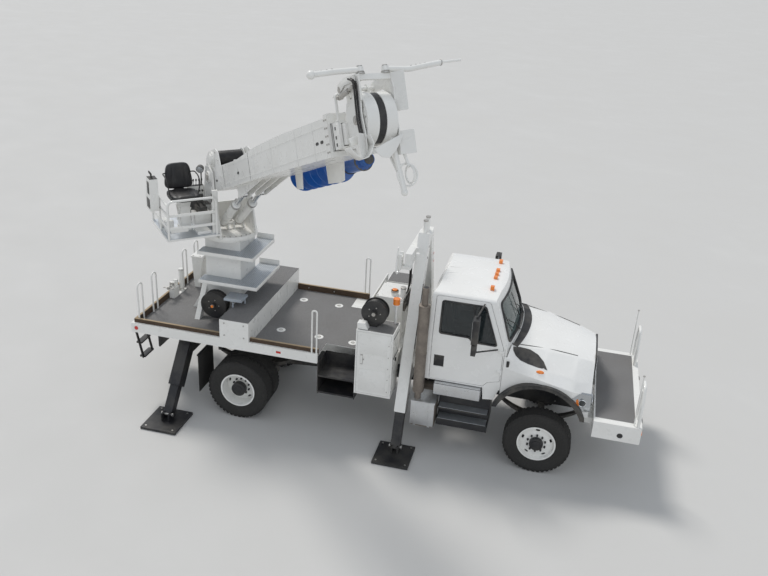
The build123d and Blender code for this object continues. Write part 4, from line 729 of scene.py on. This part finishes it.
# Turret
p = Piece("turret_bolts", STEEL, "turret")
p.stud_ring((0, 0, 2.949), "z", 0.447, 30, 0.5, 0.017, 0.013)
for side in (-1, 1):
    pivot = (-PIVOT_BACK, side * 0.344, PIVOT_Z)
    p.stud(pivot, "y", side * 0.014, 0.055, 24)
    p.stud_ring(pivot, "y", 0.076, 8, 0.5, side * 0.01, 0.009)
    p.studs((-0.38, -0.2, 0.0, 0.2, 0.4), (side * 0.3215,), (3.02,), "y", side * 0.0095, 0.013)
    p.studs((-0.36, 0.3), (side * 0.3215,), (3.24,), "y", side * 0.0095, 0.013)
p = Piece("turret_ribs", WHITE, "turret", bevel=0.002, twin=True)
for x, top in ((-0.27, 3.72), (0.1, 3.74)):
    p.box((x - 0.007, 0.3215, 2.952), (x + 0.007, 0.338, top))
p.box((-0.425, 0.3215, 2.952), (0.445, 0.338, 2.964))

low_pin = Vector((0, 0, 3.04))
high_pin = placed((-PIVOT_BACK, 0, PIVOT_Z), -REST_LIFT) @ Vector((1.15, 0, -0.4))
axis = (high_pin - low_pin).normalized()
lift = Vector((-axis.z, 0, axis.x)) * 0.077
glands = Piece("cylinder_glands", STEEL, "lift_barrels", bevel=0.003)
lines = Piece("cylinder_lines", HOSE, "lift_barrels")
for y in (-0.135, 0.135):
    foot = low_pin + Vector((0, y, 0))
    top = foot + axis * 0.955
    glands.rod(foot + axis * 0.925, foot + axis * 0.979, 0.078, 32)
    glands.rod(foot + axis * 0.1, foot + axis * 0.13, 0.077, 32)
    glands.stud(top + Vector((0, 0, 0.07)), "z", 0.035, 0.014, 8)
    lines.tube([top + Vector((0, 0, 0.1)), foot + axis * 0.88 + lift * 1.05, foot + axis * 0.55 + lift,
                foot + axis * 0.2 + lift], 0.008, 0.04, 8)

# Boom
PROUD = 0.2802
p = Piece("boom_seams", WHITE, "boom_outer", bevel=0.002, segments=1)
for low, high in ((-0.2835, -0.2795), (0.2795, 0.2835)):
    for a, bottom, top in ((0.66, -0.255, 0.1), (0.96, -0.262, 0.098), (2.2, -0.268, 0.15), (2.95, -0.268, 0.165),
                           (3.85, -0.275, 0.16), (4.42, -0.285, 0.155)):
        p.box((a - 0.011, low, bottom), (a + 0.011, high, top))
    p.box((-0.15, low, -0.205), (4.8, high, -0.195))
    p.box((1.0, low, 0.062), (4.8, high, 0.07))
for a, top in ((1.3, 0.107), (1.85, 0.134), (2.6, 0.172), (3.4, 0.181), (4.1, 0.167)):
    p.box((a - 0.02, -0.272, top - 0.005), (a + 0.02, 0.272, top + 0.008))
p = Piece("boom_bolts", STEEL, "boom_outer", twin=True)
p.studs((4.83, 4.88), (0.2935,), [-0.24 + 0.09 * k for k in range(5)], "y", 0.0105, 0.011)
p.stud((0, 0.2795, 0), "y", 0.0095, 0.07, 28)
for a, u in ((-0.12, 0.22), (0.05, 0.34), (0.42, 0.34), (0.52, 0.2), (-0.12, -0.12), (0.16, 0.06)):
    p.stud((a, PROUD, u), "y", 0.0078, 0.012)
p.studs((4.855,), (0.045, 0.135, 0.225), (0.184,), "z", 0.01, 0.011)
WINCH = (0.22, 0, 0.26)
p = Piece("winch_rope", HOSE, "boom_outer", slot="iron")
for k in range(25):
    p.ring((WINCH[0], -0.208 + 0.0173 * k, WINCH[2]), "y", 0.1175, 0.009, 7, 36)
p = Piece("winch_covers", WHITE, "boom_outer", bevel=0.003)
for side in (-1, 1):
    p.stud((WINCH[0], side * PROUD, WINCH[2]), "y", side * 0.0198, 0.125, 32)
    p.stud((WINCH[0], side * 0.3, WINCH[2]), "y", side * 0.025, 0.085, 28)
    p.stud_ring((WINCH[0], side * 0.299, WINCH[2]), "y", 0.105, 8, 0, side * 0.01, 0.009)
p.stud((WINCH[0], 0.32, WINCH[2]), "y", 0.12, 0.055, 24)
# Black plates for the slots in the boom's sides: painted shade in the openings.
p = Piece("boom_slots_painted_shade", BLACK, "boom_outer", twin=True)
for a in (0.3, 1.45, 4.52, 4.66):
    p.plate([(a - 0.045, -0.1), (a - 0.03, -0.118), (a + 0.03, -0.118), (a + 0.045, -0.1), (a + 0.03, -0.082),
             (a - 0.03, -0.082)], "y", 0.2798, 0.2822)
p = Piece("stage_seams", BLACK, "boom_outer", twin=True)
for a0, a1, bottom, top in ((4.792, 4.808, -0.29, 0.15), (0.7, 0.706, -0.245, 0.095), (1.99, 1.995, -0.265, 0.135)):
    p.box((a0, 0.2798, bottom), (a1, 0.2825, top))
p = Piece("auger_guards", WHITE, "boom_outer", bevel=0.003)
p.plate([(3.42, -0.24), (3.99, -0.24), (3.93, -0.515), (3.8, -0.53), (3.43, -0.51)], "y", 0.278, 0.292)
p.plate([(2.31, -0.2), (2.59, -0.2), (2.52, -0.5), (2.3, -0.475)], "y", 0.278, 0.292)
p.box((2.36, 0.278, -0.212), (2.54, 0.3, -0.198))
p = Piece("boom_lines", HOSE, "boom_outer")
for k in range(3):
    u = -0.02 - 0.034 * k
    p.tube([(0.75, 0.296, u - 0.05), (1.1, 0.296, u), (3.5, 0.296, u), (3.86, 0.296, u - 0.03)], 0.0125, 0.15, 8)
p = Piece("boom_clamps", STEEL, "boom_outer", bevel=0.004)
for a in (1.15, 1.75, 2.35, 2.95, 3.45):
    p.box((a - 0.02, PROUD, -0.115), (a + 0.02, 0.312, 0.005))
for a in (0.745, 3.865):
    p.box((a - 0.03, PROUD, -0.175), (a + 0.03, 0.313, 0.0))
p = Piece("middle_collar", WHITE, "boom_middle", slot="boom_inner_paint", bevel=0.003)
for side in (-1, 1):
    p.box((5.045, side * 0.2495, -0.225), (5.118, side * 0.262, 0.06))
    p.studs((5.08,), (side * 0.261,), (-0.19, -0.08, 0.03), "y", side * 0.008, 0.011)
p.box((5.045, -0.262, 0.0645), (5.118, 0.262, 0.078))
# Black marks for the slots in the middle stage: painted shade in the openings.
p = Piece("middle_slots_painted_shade", BLACK, "boom_middle", twin=True)
p.box((4.925, 0.2498, -0.24), (4.937, 0.2522, 0.06))
for u in (-0.18, -0.1, 0.0):
    p.box((4.985, 0.2498, u - 0.018), (5.012, 0.2522, u + 0.018))
p = Piece("latch_frame", WHITE, "boom_middle", bevel=0.002)
p.tube([(5.08, -0.235, 0.07), (5.08, -0.235, 0.36), (5.08, 0.235, 0.36), (5.08, 0.235, 0.07)], 0.016, 0.04, 10)
p.studs((5.08,), (-0.17, 0.17), (0.36,), "x", -0.14, 0.026, 16)
p.studs((4.94,), (-0.17, 0.17), (0.36,), "x", -0.04, 0.014, 12)

# Boom head
HEAD = (5.402, 0.02)
SHEAVE = (5.41, 0.02)


def head_spot(radius, degrees, l):
    """A point at a turn on a circle about the boom head's centre."""
    turn = radians(degrees)
    return (HEAD[0] + radius * cos(turn), l, HEAD[1] + radius * sin(turn))


p = Piece("head_band", BLACK, "boom_tip")
p.plate([head_spot(0.279, 5 * k, 0)[::2] for k in range(-15, 16)]
        + [head_spot(0.266, 5 * k, 0)[::2] for k in range(15, -16, -1)], "y", -0.0435, 0.0435)
p = Piece("head_bolts", STEEL, "boom_tip", bevel=0.002)
for l, out in ((-0.1845, -0.194), (0.1745, 0.184)):
    for k in range(9):
        p.rod(head_spot(0.245, 25 * k - 100, l), head_spot(0.245, 25 * k - 100, out), 0.011, 6)
    for reach, radius, sides in ((1.02, 0.05, 28), (1.06, 0.028, 20)):
        p.rod((SHEAVE[0], l, SHEAVE[1]), (SHEAVE[0], out * reach, SHEAVE[1]), radius, sides)
for side in (-1, 1):
    p.stud((5.18, side * 0.224, 0.39), "y", side * 0.008, 0.034, 20)
p = Piece("hook_rods", WHITE, "boom_tip")
p.tube([(5.5, 0.168, -0.16), (5.54, 0.235, -0.28), (5.6, 0.25, -0.42), (5.655, 0.25, -0.54)], 0.018, 0.12)
p.tube([(5.46, 0.1, -0.24), (5.5, 0.13, -0.42), (5.56, 0.165, -0.6), (5.59, 0.19, -0.74)], 0.016, 0.12)
p.ring((5.655, 0.25, -0.62), "y", 0.095, 0.011, 8, 36)
Piece("sheave_rims", IRON, "tip_sheave", twin=True).ring((SHEAVE[0], 0.026, SHEAVE[1]), "y", 0.222, 0.008, 8, 48)
p = Piece("guide_fittings", STEEL, "pole_guide", bevel=0.002)
for l, length in ((-0.2145, -0.0095), (0.2045, 0.0095)):
    for a, u in ((5.24, 0.43), (5.4, 0.43), (5.55, 0.38), (5.56, 0.22), (5.55, 0.0), (5.57, -0.2), (5.53, -0.33)):
        p.stud((a, l, u), "y", length, 0.012)
p.rod((5.33, -0.1, 0.452), (5.542, -0.1, 0.445), 0.028, 20)
p.rod((5.24, -0.1, 0.445), (5.34, -0.1, 0.452), 0.015, 12)
p.studs((5.58,), (-0.15, 0.15), (0.4695,), "z", 0.012, 0.05, 24)


def strip(line, thick):
    """A bent strip's outline: the given line and the same line moved outwards by its thickness."""
    points = [Vector(p) for p in line]
    outer = []
    for i, spot in enumerate(points):
        run = (points[min(i + 1, len(points) - 1)] - points[max(i - 1, 0)]).normalized()
        outer.append(spot + Vector((run.y, -run.x)) * thick)
    return points + outer[::-1]


p = Piece("guide_claws", WHITE, "pole_guide", bevel=0.004)
p.plate(strip([(-0.44, -0.285), (-0.41, -0.33), (-0.363, -0.375), (-0.33, -0.398), (-0.297, -0.408),
               (-0.25, -0.395), (-0.208, -0.345), (-0.17, -0.27), (-0.205, -0.17)], 0.012), "x", 5.58, 5.72)
p.plate([(-0.133, -0.324), (0.0, -0.265), (0.224, -0.18), (0.238, -0.19), (0.2, -0.26), (0.12, -0.36),
         (0.036, -0.426), (-0.06, -0.41)], "x", 5.632, 5.644)
p.plate([(-0.4, -0.19), (-0.215, -0.15), (-0.215, -0.24), (-0.37, -0.27)], "x", 5.6, 5.612)
for l in (-0.226, 0.226):
    p.plate([(5.15, 0.335), (5.15, 0.445), (5.3, 0.482), (5.585, 0.462), (5.6, 0.4), (5.32, 0.405)], "y",
            l - 0.004, l + 0.004)
p = Piece("guide_ram", STEEL, "pole_guide", bevel=0.003)
p.rod((5.2, -0.248, 0.3), (5.44, -0.248, 0.33), 0.03, 24)
p.rod((5.43, -0.248, 0.329), (5.56, -0.248, 0.345), 0.015, 16)
p.stud((5.56, -0.21, 0.345), "y", -0.06, 0.024, 20)
p.stud((5.21, -0.21, 0.3), "y", -0.075, 0.02, 20)
p.plate([(5.18, 0.35), (5.26, 0.35), (5.24, 0.28), (5.18, 0.28)], "y", -0.232, -0.214)
p = Piece("guide_hoses", HOSE, "pole_guide")
for start, l in ((5.5, -0.226), (5.48, -0.252)):
    p.tube([(start, l, 0.445), (5.6, l, 0.4), (5.585, l, 0.18), (5.572, l, 0.0), (5.6, l, -0.16)],
           0.0115, 0.09, 8)
for side, name, reach, rise in ((-1, "right", 0.72, 0.478), (1, "left", 0.85, 0.56)):
    p = Piece("tong_caps_" + name, STEEL, "tong_" + name)
    p.stud((5.58, side * 0.15, 0.544), "z", 0.014, 0.03, 20)
    p.ring((5.58, side * 0.15, 0.492), "z", 0.041, 0.006, 8, 28)
    p.ring((5.6, side * (reach - 0.012), rise), "y", 0.031, 0.007, 8, 24)
    # Black discs for the holes in the tong: painted shade inside the tube.
    p = Piece("tong_holes_painted_shade_" + name, BLACK, "tong_" + name)
    for k in range(4):
        y = 0.47 + 0.06 * k
        z = 0.505 + (rise - 0.505) * (y - 0.43) / (reach - 0.43)
        p.stud((5.585, side * y, z + 0.026), "z", 0.0065, 0.011, 12)

# Auger
AUGER_L, AUGER_U = 0.52, -0.3
p = Piece("drive_fittings", IRON, "auger_drive", bevel=0.003)
for a, radius, sides in ((3.655, 0.132, 36), (4.045, 0.132, 36), (4.2, 0.066, 28)):
    p.stud((a, AUGER_L, AUGER_U), "x", 0.022, radius, sides)
p.stud_ring((4.066, AUGER_L, AUGER_U), "x", 0.119, 12, 0, 0.014, 0.01)
p.stud_ring((3.64, AUGER_L, AUGER_U), "x", 0.119, 12, 0, 0.016, 0.01)
for y in (0.49, 0.55):
    p.tube([(4.13, y, -0.225), (4.13, y, -0.19), (4.07, y, -0.175)], 0.014, 0.02, 8)
p = Piece("auger_bit", IRON, "auger", bevel=0.002)
p.rod((1.842, AUGER_L, AUGER_U), (1.76, AUGER_L, AUGER_U), 0.036, 12, 0.006)
for k in range(4):
    y, z = cos(tau * k / 4), sin(tau * k / 4)
    p.rod((1.86, AUGER_L + 0.03 * y, AUGER_U + 0.03 * z), (1.815, AUGER_L + 0.062 * y, AUGER_U + 0.062 * z),
          0.012, 6, 0.004)
p.studs((3.5, 3.6), (AUGER_L,), (AUGER_U,), "x", 0.03, 0.055, 24)


# Outriggers
def leg_spot(x, along, side, out=0.0, foot=1.37, lean=21):
    """A point beside a leaning leg: along its centre line from the ground, and out from its centre."""
    turn = radians(lean)
    y = foot - along * sin(turn) + out * cos(turn)
    return (x, side * y, along * cos(turn) + out * sin(turn))


p = Piece("frame_hoses", HOSE)
for y in (-0.06, -0.02, 0.02, 0.06):
    p.tube([(-2.395, y, 3.1), (-2.408, y, 3.0), (-2.408, y, 2.45), (-2.43, y, 2.3), (-2.45, y, 2.252)],
           0.01, 0.08, 8)
p = Piece("frame_stripe", BLACK)
p.rod(leg_spot(-2.1085, 2.8, -1, 0.085), leg_spot(-2.1085, 1.75, -1, 0.085), 0.01, 8)
for along in (3.22, 3.4):
    p.stud(leg_spot(-2.1098, along, -1), "x", 0.0013, 0.02, 16)
p = Piece("frame_fittings", STEEL)
for side in (-1, 1):
    for along in (0.8, 1.0):
        p.stud(leg_spot(-2.108, along, side), "x", 0.01, 0.022)
        p.stud(leg_spot(-2.292, along, side), "x", -0.01, 0.022)
    p.stud((-2.2, side * 0.095, 3.575), "z", 0.022, 0.04, 24)
    p.stud((-2.2, side * 0.095, 3.25), "z", 0.025, 0.045, 24)
p.studs((-2.4005,), (-0.5, -0.3, 0.0, 0.3, 0.5), (3.01, 3.146), "x", -0.0095, 0.014)
p = Piece("latch_paddle", WHITE, bevel=0.004)
p.tube([(-2.47, -0.57, 2.95), (-2.49, -0.74, 2.86), (-2.5, -0.74, 3.0), (-2.5, -0.7, 3.14)], 0.014, 0.06)
p.plate([(-0.735, 3.12), (-0.7, 3.12), (-0.635, 3.25), (-0.64, 3.3), (-0.68, 3.29), (-0.73, 3.18)], "x",
        -2.507, -2.493)
p.stud((-2.2, -0.6, 3.18), "z", 0.04, 0.03, 16)
p = Piece("frame_reflectors", RED)
for along in (2.95, 3.12):
    p.stud(leg_spot(-2.0925, along, 1), "x", 0.0035, 0.022, 16)
p = Piece("beacon_stem", WHITE, bevel=0.002)
p.stud((-2.44, -0.82, 2.061), "z", 0.329, 0.0215, 16)
p.stud((-2.44, -0.82, 2.385), "z", 0.015, 0.057, 28)
Piece("strobe_lens", LIME, bevel=0.008).rod((-2.2, 0.24, 3.17), (-2.2, 0.24, 3.27), 0.03, 20, 0.024)
Piece("cabinet_mats", GRIT, twin=True).box((-2.955, 0.775, 2.0595), (-2.385, 1.205, 2.064))
p = Piece("valve_bank", IRON, bevel=0.004)
for k in range(7):
    y = -0.27 + 0.09 * k
    p.box((-2.437, y - 0.034, 2.04), (-2.405, y + 0.034, 2.2))
    p.stud((-2.405, y, 2.12), "x", 0.02, 0.018, 12)
    p.rod((-2.42, y, 2.198), (-2.41, y, 2.26), 0.006, 8)
for side, name in SIDES:
    for where, x, foot, reach, centre, half in (("front", -2.2, 1.34, 0.12, 1.445, 0.27),
                                                ("rear", -6.07, 1.67, 0.13, 1.7, 0.3)):
        p = Piece(where + "_pad_pin_" + name, STEEL, where + "_leg_" + name)
        p.stud((x - 0.1, side * foot, reach), "x", 0.2, 0.022, 20)
        p.studs((x - 0.105, x + 0.09), (side * foot,), (reach,), "x", 0.015, 0.032, 20)
        p.studs((x - 0.24, x + 0.24), (side * centre - half + 0.03, side * centre + half - 0.03), (0.0395,), "z",
                0.0095, 0.016)
p = Piece("rear_frame_bolts", STEEL, twin=True)
for along in (0.72, 1.0, 1.3):
    p.stud(leg_spot(-6.1705, along, 1, 0.0, 1.7, 38), "x", -0.011, 0.018)
p.studs((-6.8795,), (0.2, 0.34), (0.66, 0.96), "x", -0.0105, 0.018)

# Deck, tail and cabinets
# Thin strips on the side boards' top faces in the lighter wood: painted light on the tops.
p = Piece("board_tops_painted_light", LIT_TOP_TIMBER, bevel=0.001, segments=1)
for side, front in ((-1, -3.602), (1, -3.372)):
    p.box((-6.848, side * 1.141, 1.5605), (-5.295, side * 1.179, 1.5655))
    p.box((-4.765, side * 1.141, 1.5605), (front, side * 1.179, 1.5655))
p.box((-6.848, -1.139, 1.5605), (-6.812, 1.139, 1.5655))
p = Piece("deck_bolts", STEEL, twin=True)
p.studs((-6.5, -6.0, -5.5, -4.55, -4.05), (1.139,), (1.51,), "y", -0.007, 0.013, 8)
p = Piece("vise_screw", STEEL, bevel=0.002)
p.stud((-6.75, -0.175, 1.7), "y", 0.09, 0.028, 16)
p.stud((-6.84, -0.15, 1.7), "x", 0.18, 0.008, 10)
p.studs((-6.848, -6.668), (-0.15,), (1.7,), "x", 0.016, 0.014, 12)
for y in (-0.031, 0.131):
    p.box((-6.792, y - 0.003, 1.7), (-6.708, y + 0.003, 1.758))
p.ring((-6.75, 0.33, 1.86), "z", 0.044, 0.006, 8, 28)
p.ring((-6.75, 0.33, 1.5), "z", 0.047, 0.008, 8, 28)
p.studs((-6.6, -6.46), (0.55, 0.885), (2.079,), "z", 0.009, 0.014)
Piece("tail_corner_lamp", RED, bevel=0.003, twin=True).stud((-6.8, 1.2195, 1.41), "y", 0.0085, 0.034, 20)
Piece("mud_flaps", RUBBER, bevel=0.003, twin=True).box((-5.712, 0.62, 0.36), (-5.7, 1.19, 1.06))
Piece("flap_hangers", BLACK, bevel=0.003, twin=True).box((-5.722, 0.43, 1.055), (-5.69, 1.2, 1.085))
p = Piece("locker_trim", BLACK, bevel=0.002)
p.box((-2.3695, -1.17, 1.6), (-2.362, -0.84, 1.612))
p.box((-2.3695, -1.02, 1.5), (-2.352, -0.99, 1.56))
for side in (-1, 1):
    p.box((-2.3695, side * 0.8, 1.955), (-2.364, side * 1.18, 1.963))
p = Piece("door_skin", WHITE, "cabinet_door", bevel=0.003)
p.box((-2.9, -1.2245, 0.985), (-2.45, -1.2195, 1.38))
p.box((-2.9, -1.2245, 1.66), (-2.45, -1.2195, 1.985))
p = Piece("door_latch", STEEL, "cabinet_door", bevel=0.002)
p.box((-2.885, -1.2255, 1.46), (-2.845, -1.2195, 1.64))
p.stud((-2.835, -1.2195, 1.55), "y", -0.0095, 0.013, 16)
p.studs((-2.43,), (-1.2295,), (1.03, 1.25, 1.45, 1.65, 1.86), "y", -0.0075, 0.009, 8)
reels = Piece("reel_hoses", HOSE)
hubs = Piece("reel_hubs", STEEL)
for x, y, z, core in ((-2.74, -0.96, 2.29, 0.151), (-5.64, -0.59, 1.78, 0.166)):
    for count, first, out in ((7, -0.06, 0.011), (6, -0.05, 0.028)):
        for k in range(count):
            reels.ring((x, y + first + 0.02 * k, z), "y", core + out, 0.0105, 8, 44)
    for side in (-1, 1):
        hubs.stud((x, y + side * 0.118, z), "y", side * 0.014, 0.03, 20)
        hubs.stud_ring((x, y + side * 0.0795, z), "y", 0.1, 5, 0, side * 0.0065, 0.01)
p = Piece("reel_cap", AMBER, bevel=0.003)
p.stud((-5.64, -0.722, 1.78), "y", -0.013, 0.024, 16)
p.stud((-2.62, -0.16, 2.329), "z", 0.021, 0.045, 20)
p = Piece("top_case", WHITE, bevel=0.008, segments=3)
p.plate([(-2.965, 2.062), (-2.79, 2.062), (-2.84, 2.17), (-2.965, 2.17)], "y", -1.2, -1.075)
p = Piece("tank_trim", STEEL, bevel=0.002)
p.stud((-2.62, -0.16, 2.3), "z", 0.03, 0.066, 24)
p.stud((-2.47, -0.2, 2.4), "z", 0.024, 0.05, 24)
p.studs((-2.88, -2.46), (-0.27, 0.27), (2.2495,), "z", 0.0095, 0.012)
p.box((-2.4395, 0.12, 1.62), (-2.432, 0.16, 2.12))

# Pedestal
p = Piece("pedestal_trim", WHITE, bevel=0.003)
for z0, z1 in ((1.455, 1.485), (2.835, 2.868)):
    for x0, y0, x1, y1 in ((-5.932, -0.332, -5.268, -0.3175), (-5.932, 0.3175, -5.268, 0.332),
                           (-5.2825, -0.332, -5.268, 0.332), (-5.932, -0.332, -5.9175, 0.332)):
        p.box((x0, y0, z0), (x1, y1, z1))
p = Piece("pedestal_bolts", STEEL, twin=True)
p.studs([-5.86 + 0.104 * k for k in range(6)], (0.331,), (2.852,), "y", 0.01, 0.012)
p.studs((-5.269,), (0.052, 0.156, 0.26), (2.852,), "x", 0.01, 0.012)
p.studs((-5.2, -4.86), (1.2195,), (1.56, 1.78), "y", 0.009, 0.014)
ribs = Piece("tread_ribs", ALLOY)
ends = Piece("tread_ends", WHITE, bevel=0.002)
RIB_PITCH = 0.031


def rib(x0, y0, x1, y1, z):
    """One raised bar on a tread."""
    ribs.box((x0, y0, z - 0.001), (x1, y1, z + 0.006))


for z, x1, y1 in ((2.68, -4.96, 0.42), (2.16, -4.9, 0.52)):
    for k in range(8):
        y = -0.545 + RIB_PITCH * k
        rib(-5.94, y - 0.006, -5.29, y + 0.006, z)
    for k in range(12):
        x = -5.268 + RIB_PITCH * k
        if x < x1 - 0.012:
            rib(x - 0.006, -0.55, x + 0.006, y1 - 0.02, z)
    ends.box((-5.282, y1 - 0.012, z - 0.05), (x1, y1 + 0.002, z + 0.1))
    ends.box((x1 - 0.006, -0.562, z - 0.052), (x1 + 0.004, y1, z + 0.012))
    ends.box((-5.952, -0.5645, z - 0.052), (x1, -0.5585, z + 0.01))
for k in range(9):
    y = -0.766 + RIB_PITCH * k
    rib(-5.385, y - 0.006, -5.09, y + 0.006, 2.0)

# Chassis
p = Piece("frame_bolts", STEEL, twin=True)
p.studs((0.45, 0.2, -0.9, -1.5, -1.9, -2.5, -3.0, -3.4, -3.9, -4.2, -5.9, -6.3, -6.7), (0.4295,), (0.93, 1.05),
        "y", 0.0115, 0.013)
p = Piece("air_tanks", BLACK, bevel=0.02, segments=3)
p.rod((-3.55, -0.6, 0.93), (-2.98, -0.6, 0.93), 0.095, 28)
p.rod((-4.15, 0.58, 0.93), (-3.5, 0.58, 0.93), 0.095, 28)
for x, side in ((-3.45, -1), (-3.1, -1), (-4.0, 1), (-3.65, 1)):
    p.box((x - 0.02, side * 0.429, 0.9), (x + 0.02, side * 0.6, 0.96))
Piece("fuel_cap", CHROME, bevel=0.004).rod((-0.95, 0.95, 1.035), (-0.95, 0.985, 1.072), 0.05, 24)
p = Piece("brake_chambers", IRON, bevel=0.006, twin=True)
p.rod((-4.76, 0.42, 0.56), (-4.66, 0.42, 0.6), 0.085, 24)
p.rod((-4.66, 0.42, 0.6), (-4.58, 0.42, 0.63), 0.075, 24)

# Front
p = Piece("grille_bars", ALLOY, "hood", slot="chrome")
for z, half in ((1.567, 0.43), (1.625, 0.422), (1.683, 0.414), (1.741, 0.406)):
    p.tube([(0.737, -half, z), (0.741, -half * 0.5, z), (0.741, half * 0.5, z), (0.737, half, z)], 0.007, 0.1, 8)
for y in (-0.36, -0.18, 0.0, 0.18, 0.36):
    p.box((0.7155, y - 0.005, 1.53), (0.72, y + 0.005, 1.78))
p = Piece("platform_fittings", STEEL, bevel=0.001, segments=1)
for side in (-1, 1):
    near, far = side * 0.62, side * 0.74
    p.tube([(1.5, near, 0.99), (1.545, near, 0.99), (1.545, far, 0.99), (1.5, far, 0.99)], 0.014, 0.03)
    p.studs((1.4995,), (side * 0.3, side * 1.05), (0.93, 1.11), "x", 0.0095, 0.014)
    p.stud((1.38, side * 1.16, 2.022), "z", 0.012, 0.018, 14)
# Black discs for the lamp wells: painted shade in the recesses.
Piece("platform_lamp_wells_painted_shade", BLACK, twin=True).stud((1.2, 1.2, 0.985), "y", 0.0085, 0.0455, 28)
Piece("platform_lenses", AMBER, bevel=0.003, twin=True).stud((1.5, 1.15, 1.06), "x", 0.012, 0.045, 24)
p = Piece("hood_latches", HOSE, "hood", bevel=0.006, twin=True)
spot, size = hood_spot(-0.6, 0.45, 1, 0), Vector((0.022, 0.014, 0.05))
p.box(spot - size, spot + size)

finish_pieces()

# Floor, light and camera
bpy.ops.mesh.primitive_plane_add(size=500, location=(0, 0, -0.004))
floor = bpy.context.object
floor.name = "studio_floor"
floor.data.materials.append(paint("floor_paint", (0.56, 0.555, 0.54), 0.8, soil=0.03, scale=0.3))

world = bpy.data.worlds.new("studio")
bpy.context.scene.world = world
world.use_nodes = True
sky = world.node_tree.nodes["Background"]
sky.inputs["Color"].default_value = (0.8, 0.85, 0.92, 1)
sky.inputs["Strength"].default_value = 0.62


def lamp(name, place, power, spread_angle, colour):
    data = bpy.data.lights.new(name, "SUN")
    data.energy, data.angle, data.color = power, radians(spread_angle), colour
    made = bpy.data.objects.new(name, data)
    bpy.context.scene.collection.objects.link(made)
    made.rotation_mode = "QUATERNION"
    made.rotation_quaternion = (-Vector(place)).to_track_quat("-Z", "Y")


lamp("key", (-12, 10, 22), 1.9, 16, (1.0, 0.97, 0.93))
lamp("fill", (8, -16, 12), 0.5, 60, (0.93, 0.96, 1.0))

FOCAL_PIXELS, PHOTO_WIDTH = 810.03, 768
camera_data = bpy.data.cameras.new("photo_camera")
camera_data.sensor_width = 36
camera_data.lens = 36 * FOCAL_PIXELS / PHOTO_WIDTH
camera_data.clip_end = 900
camera = bpy.data.objects.new("photo_camera", camera_data)
bpy.context.scene.collection.objects.link(camera)
azimuth, elevation, roll = 0.223935, 0.425031, 0.056828
camera.matrix_world = (Matrix.Translation((-0.0959, -12.0644, 7.8658)) @ Matrix.Rotation(azimuth, 4, "Z")
                       @ Matrix.Rotation(tau / 4 - elevation, 4, "X") @ Matrix.Rotation(roll, 4, "Z"))
bpy.context.scene.camera = camera
bpy.context.scene.view_settings.view_transform = "Standard"
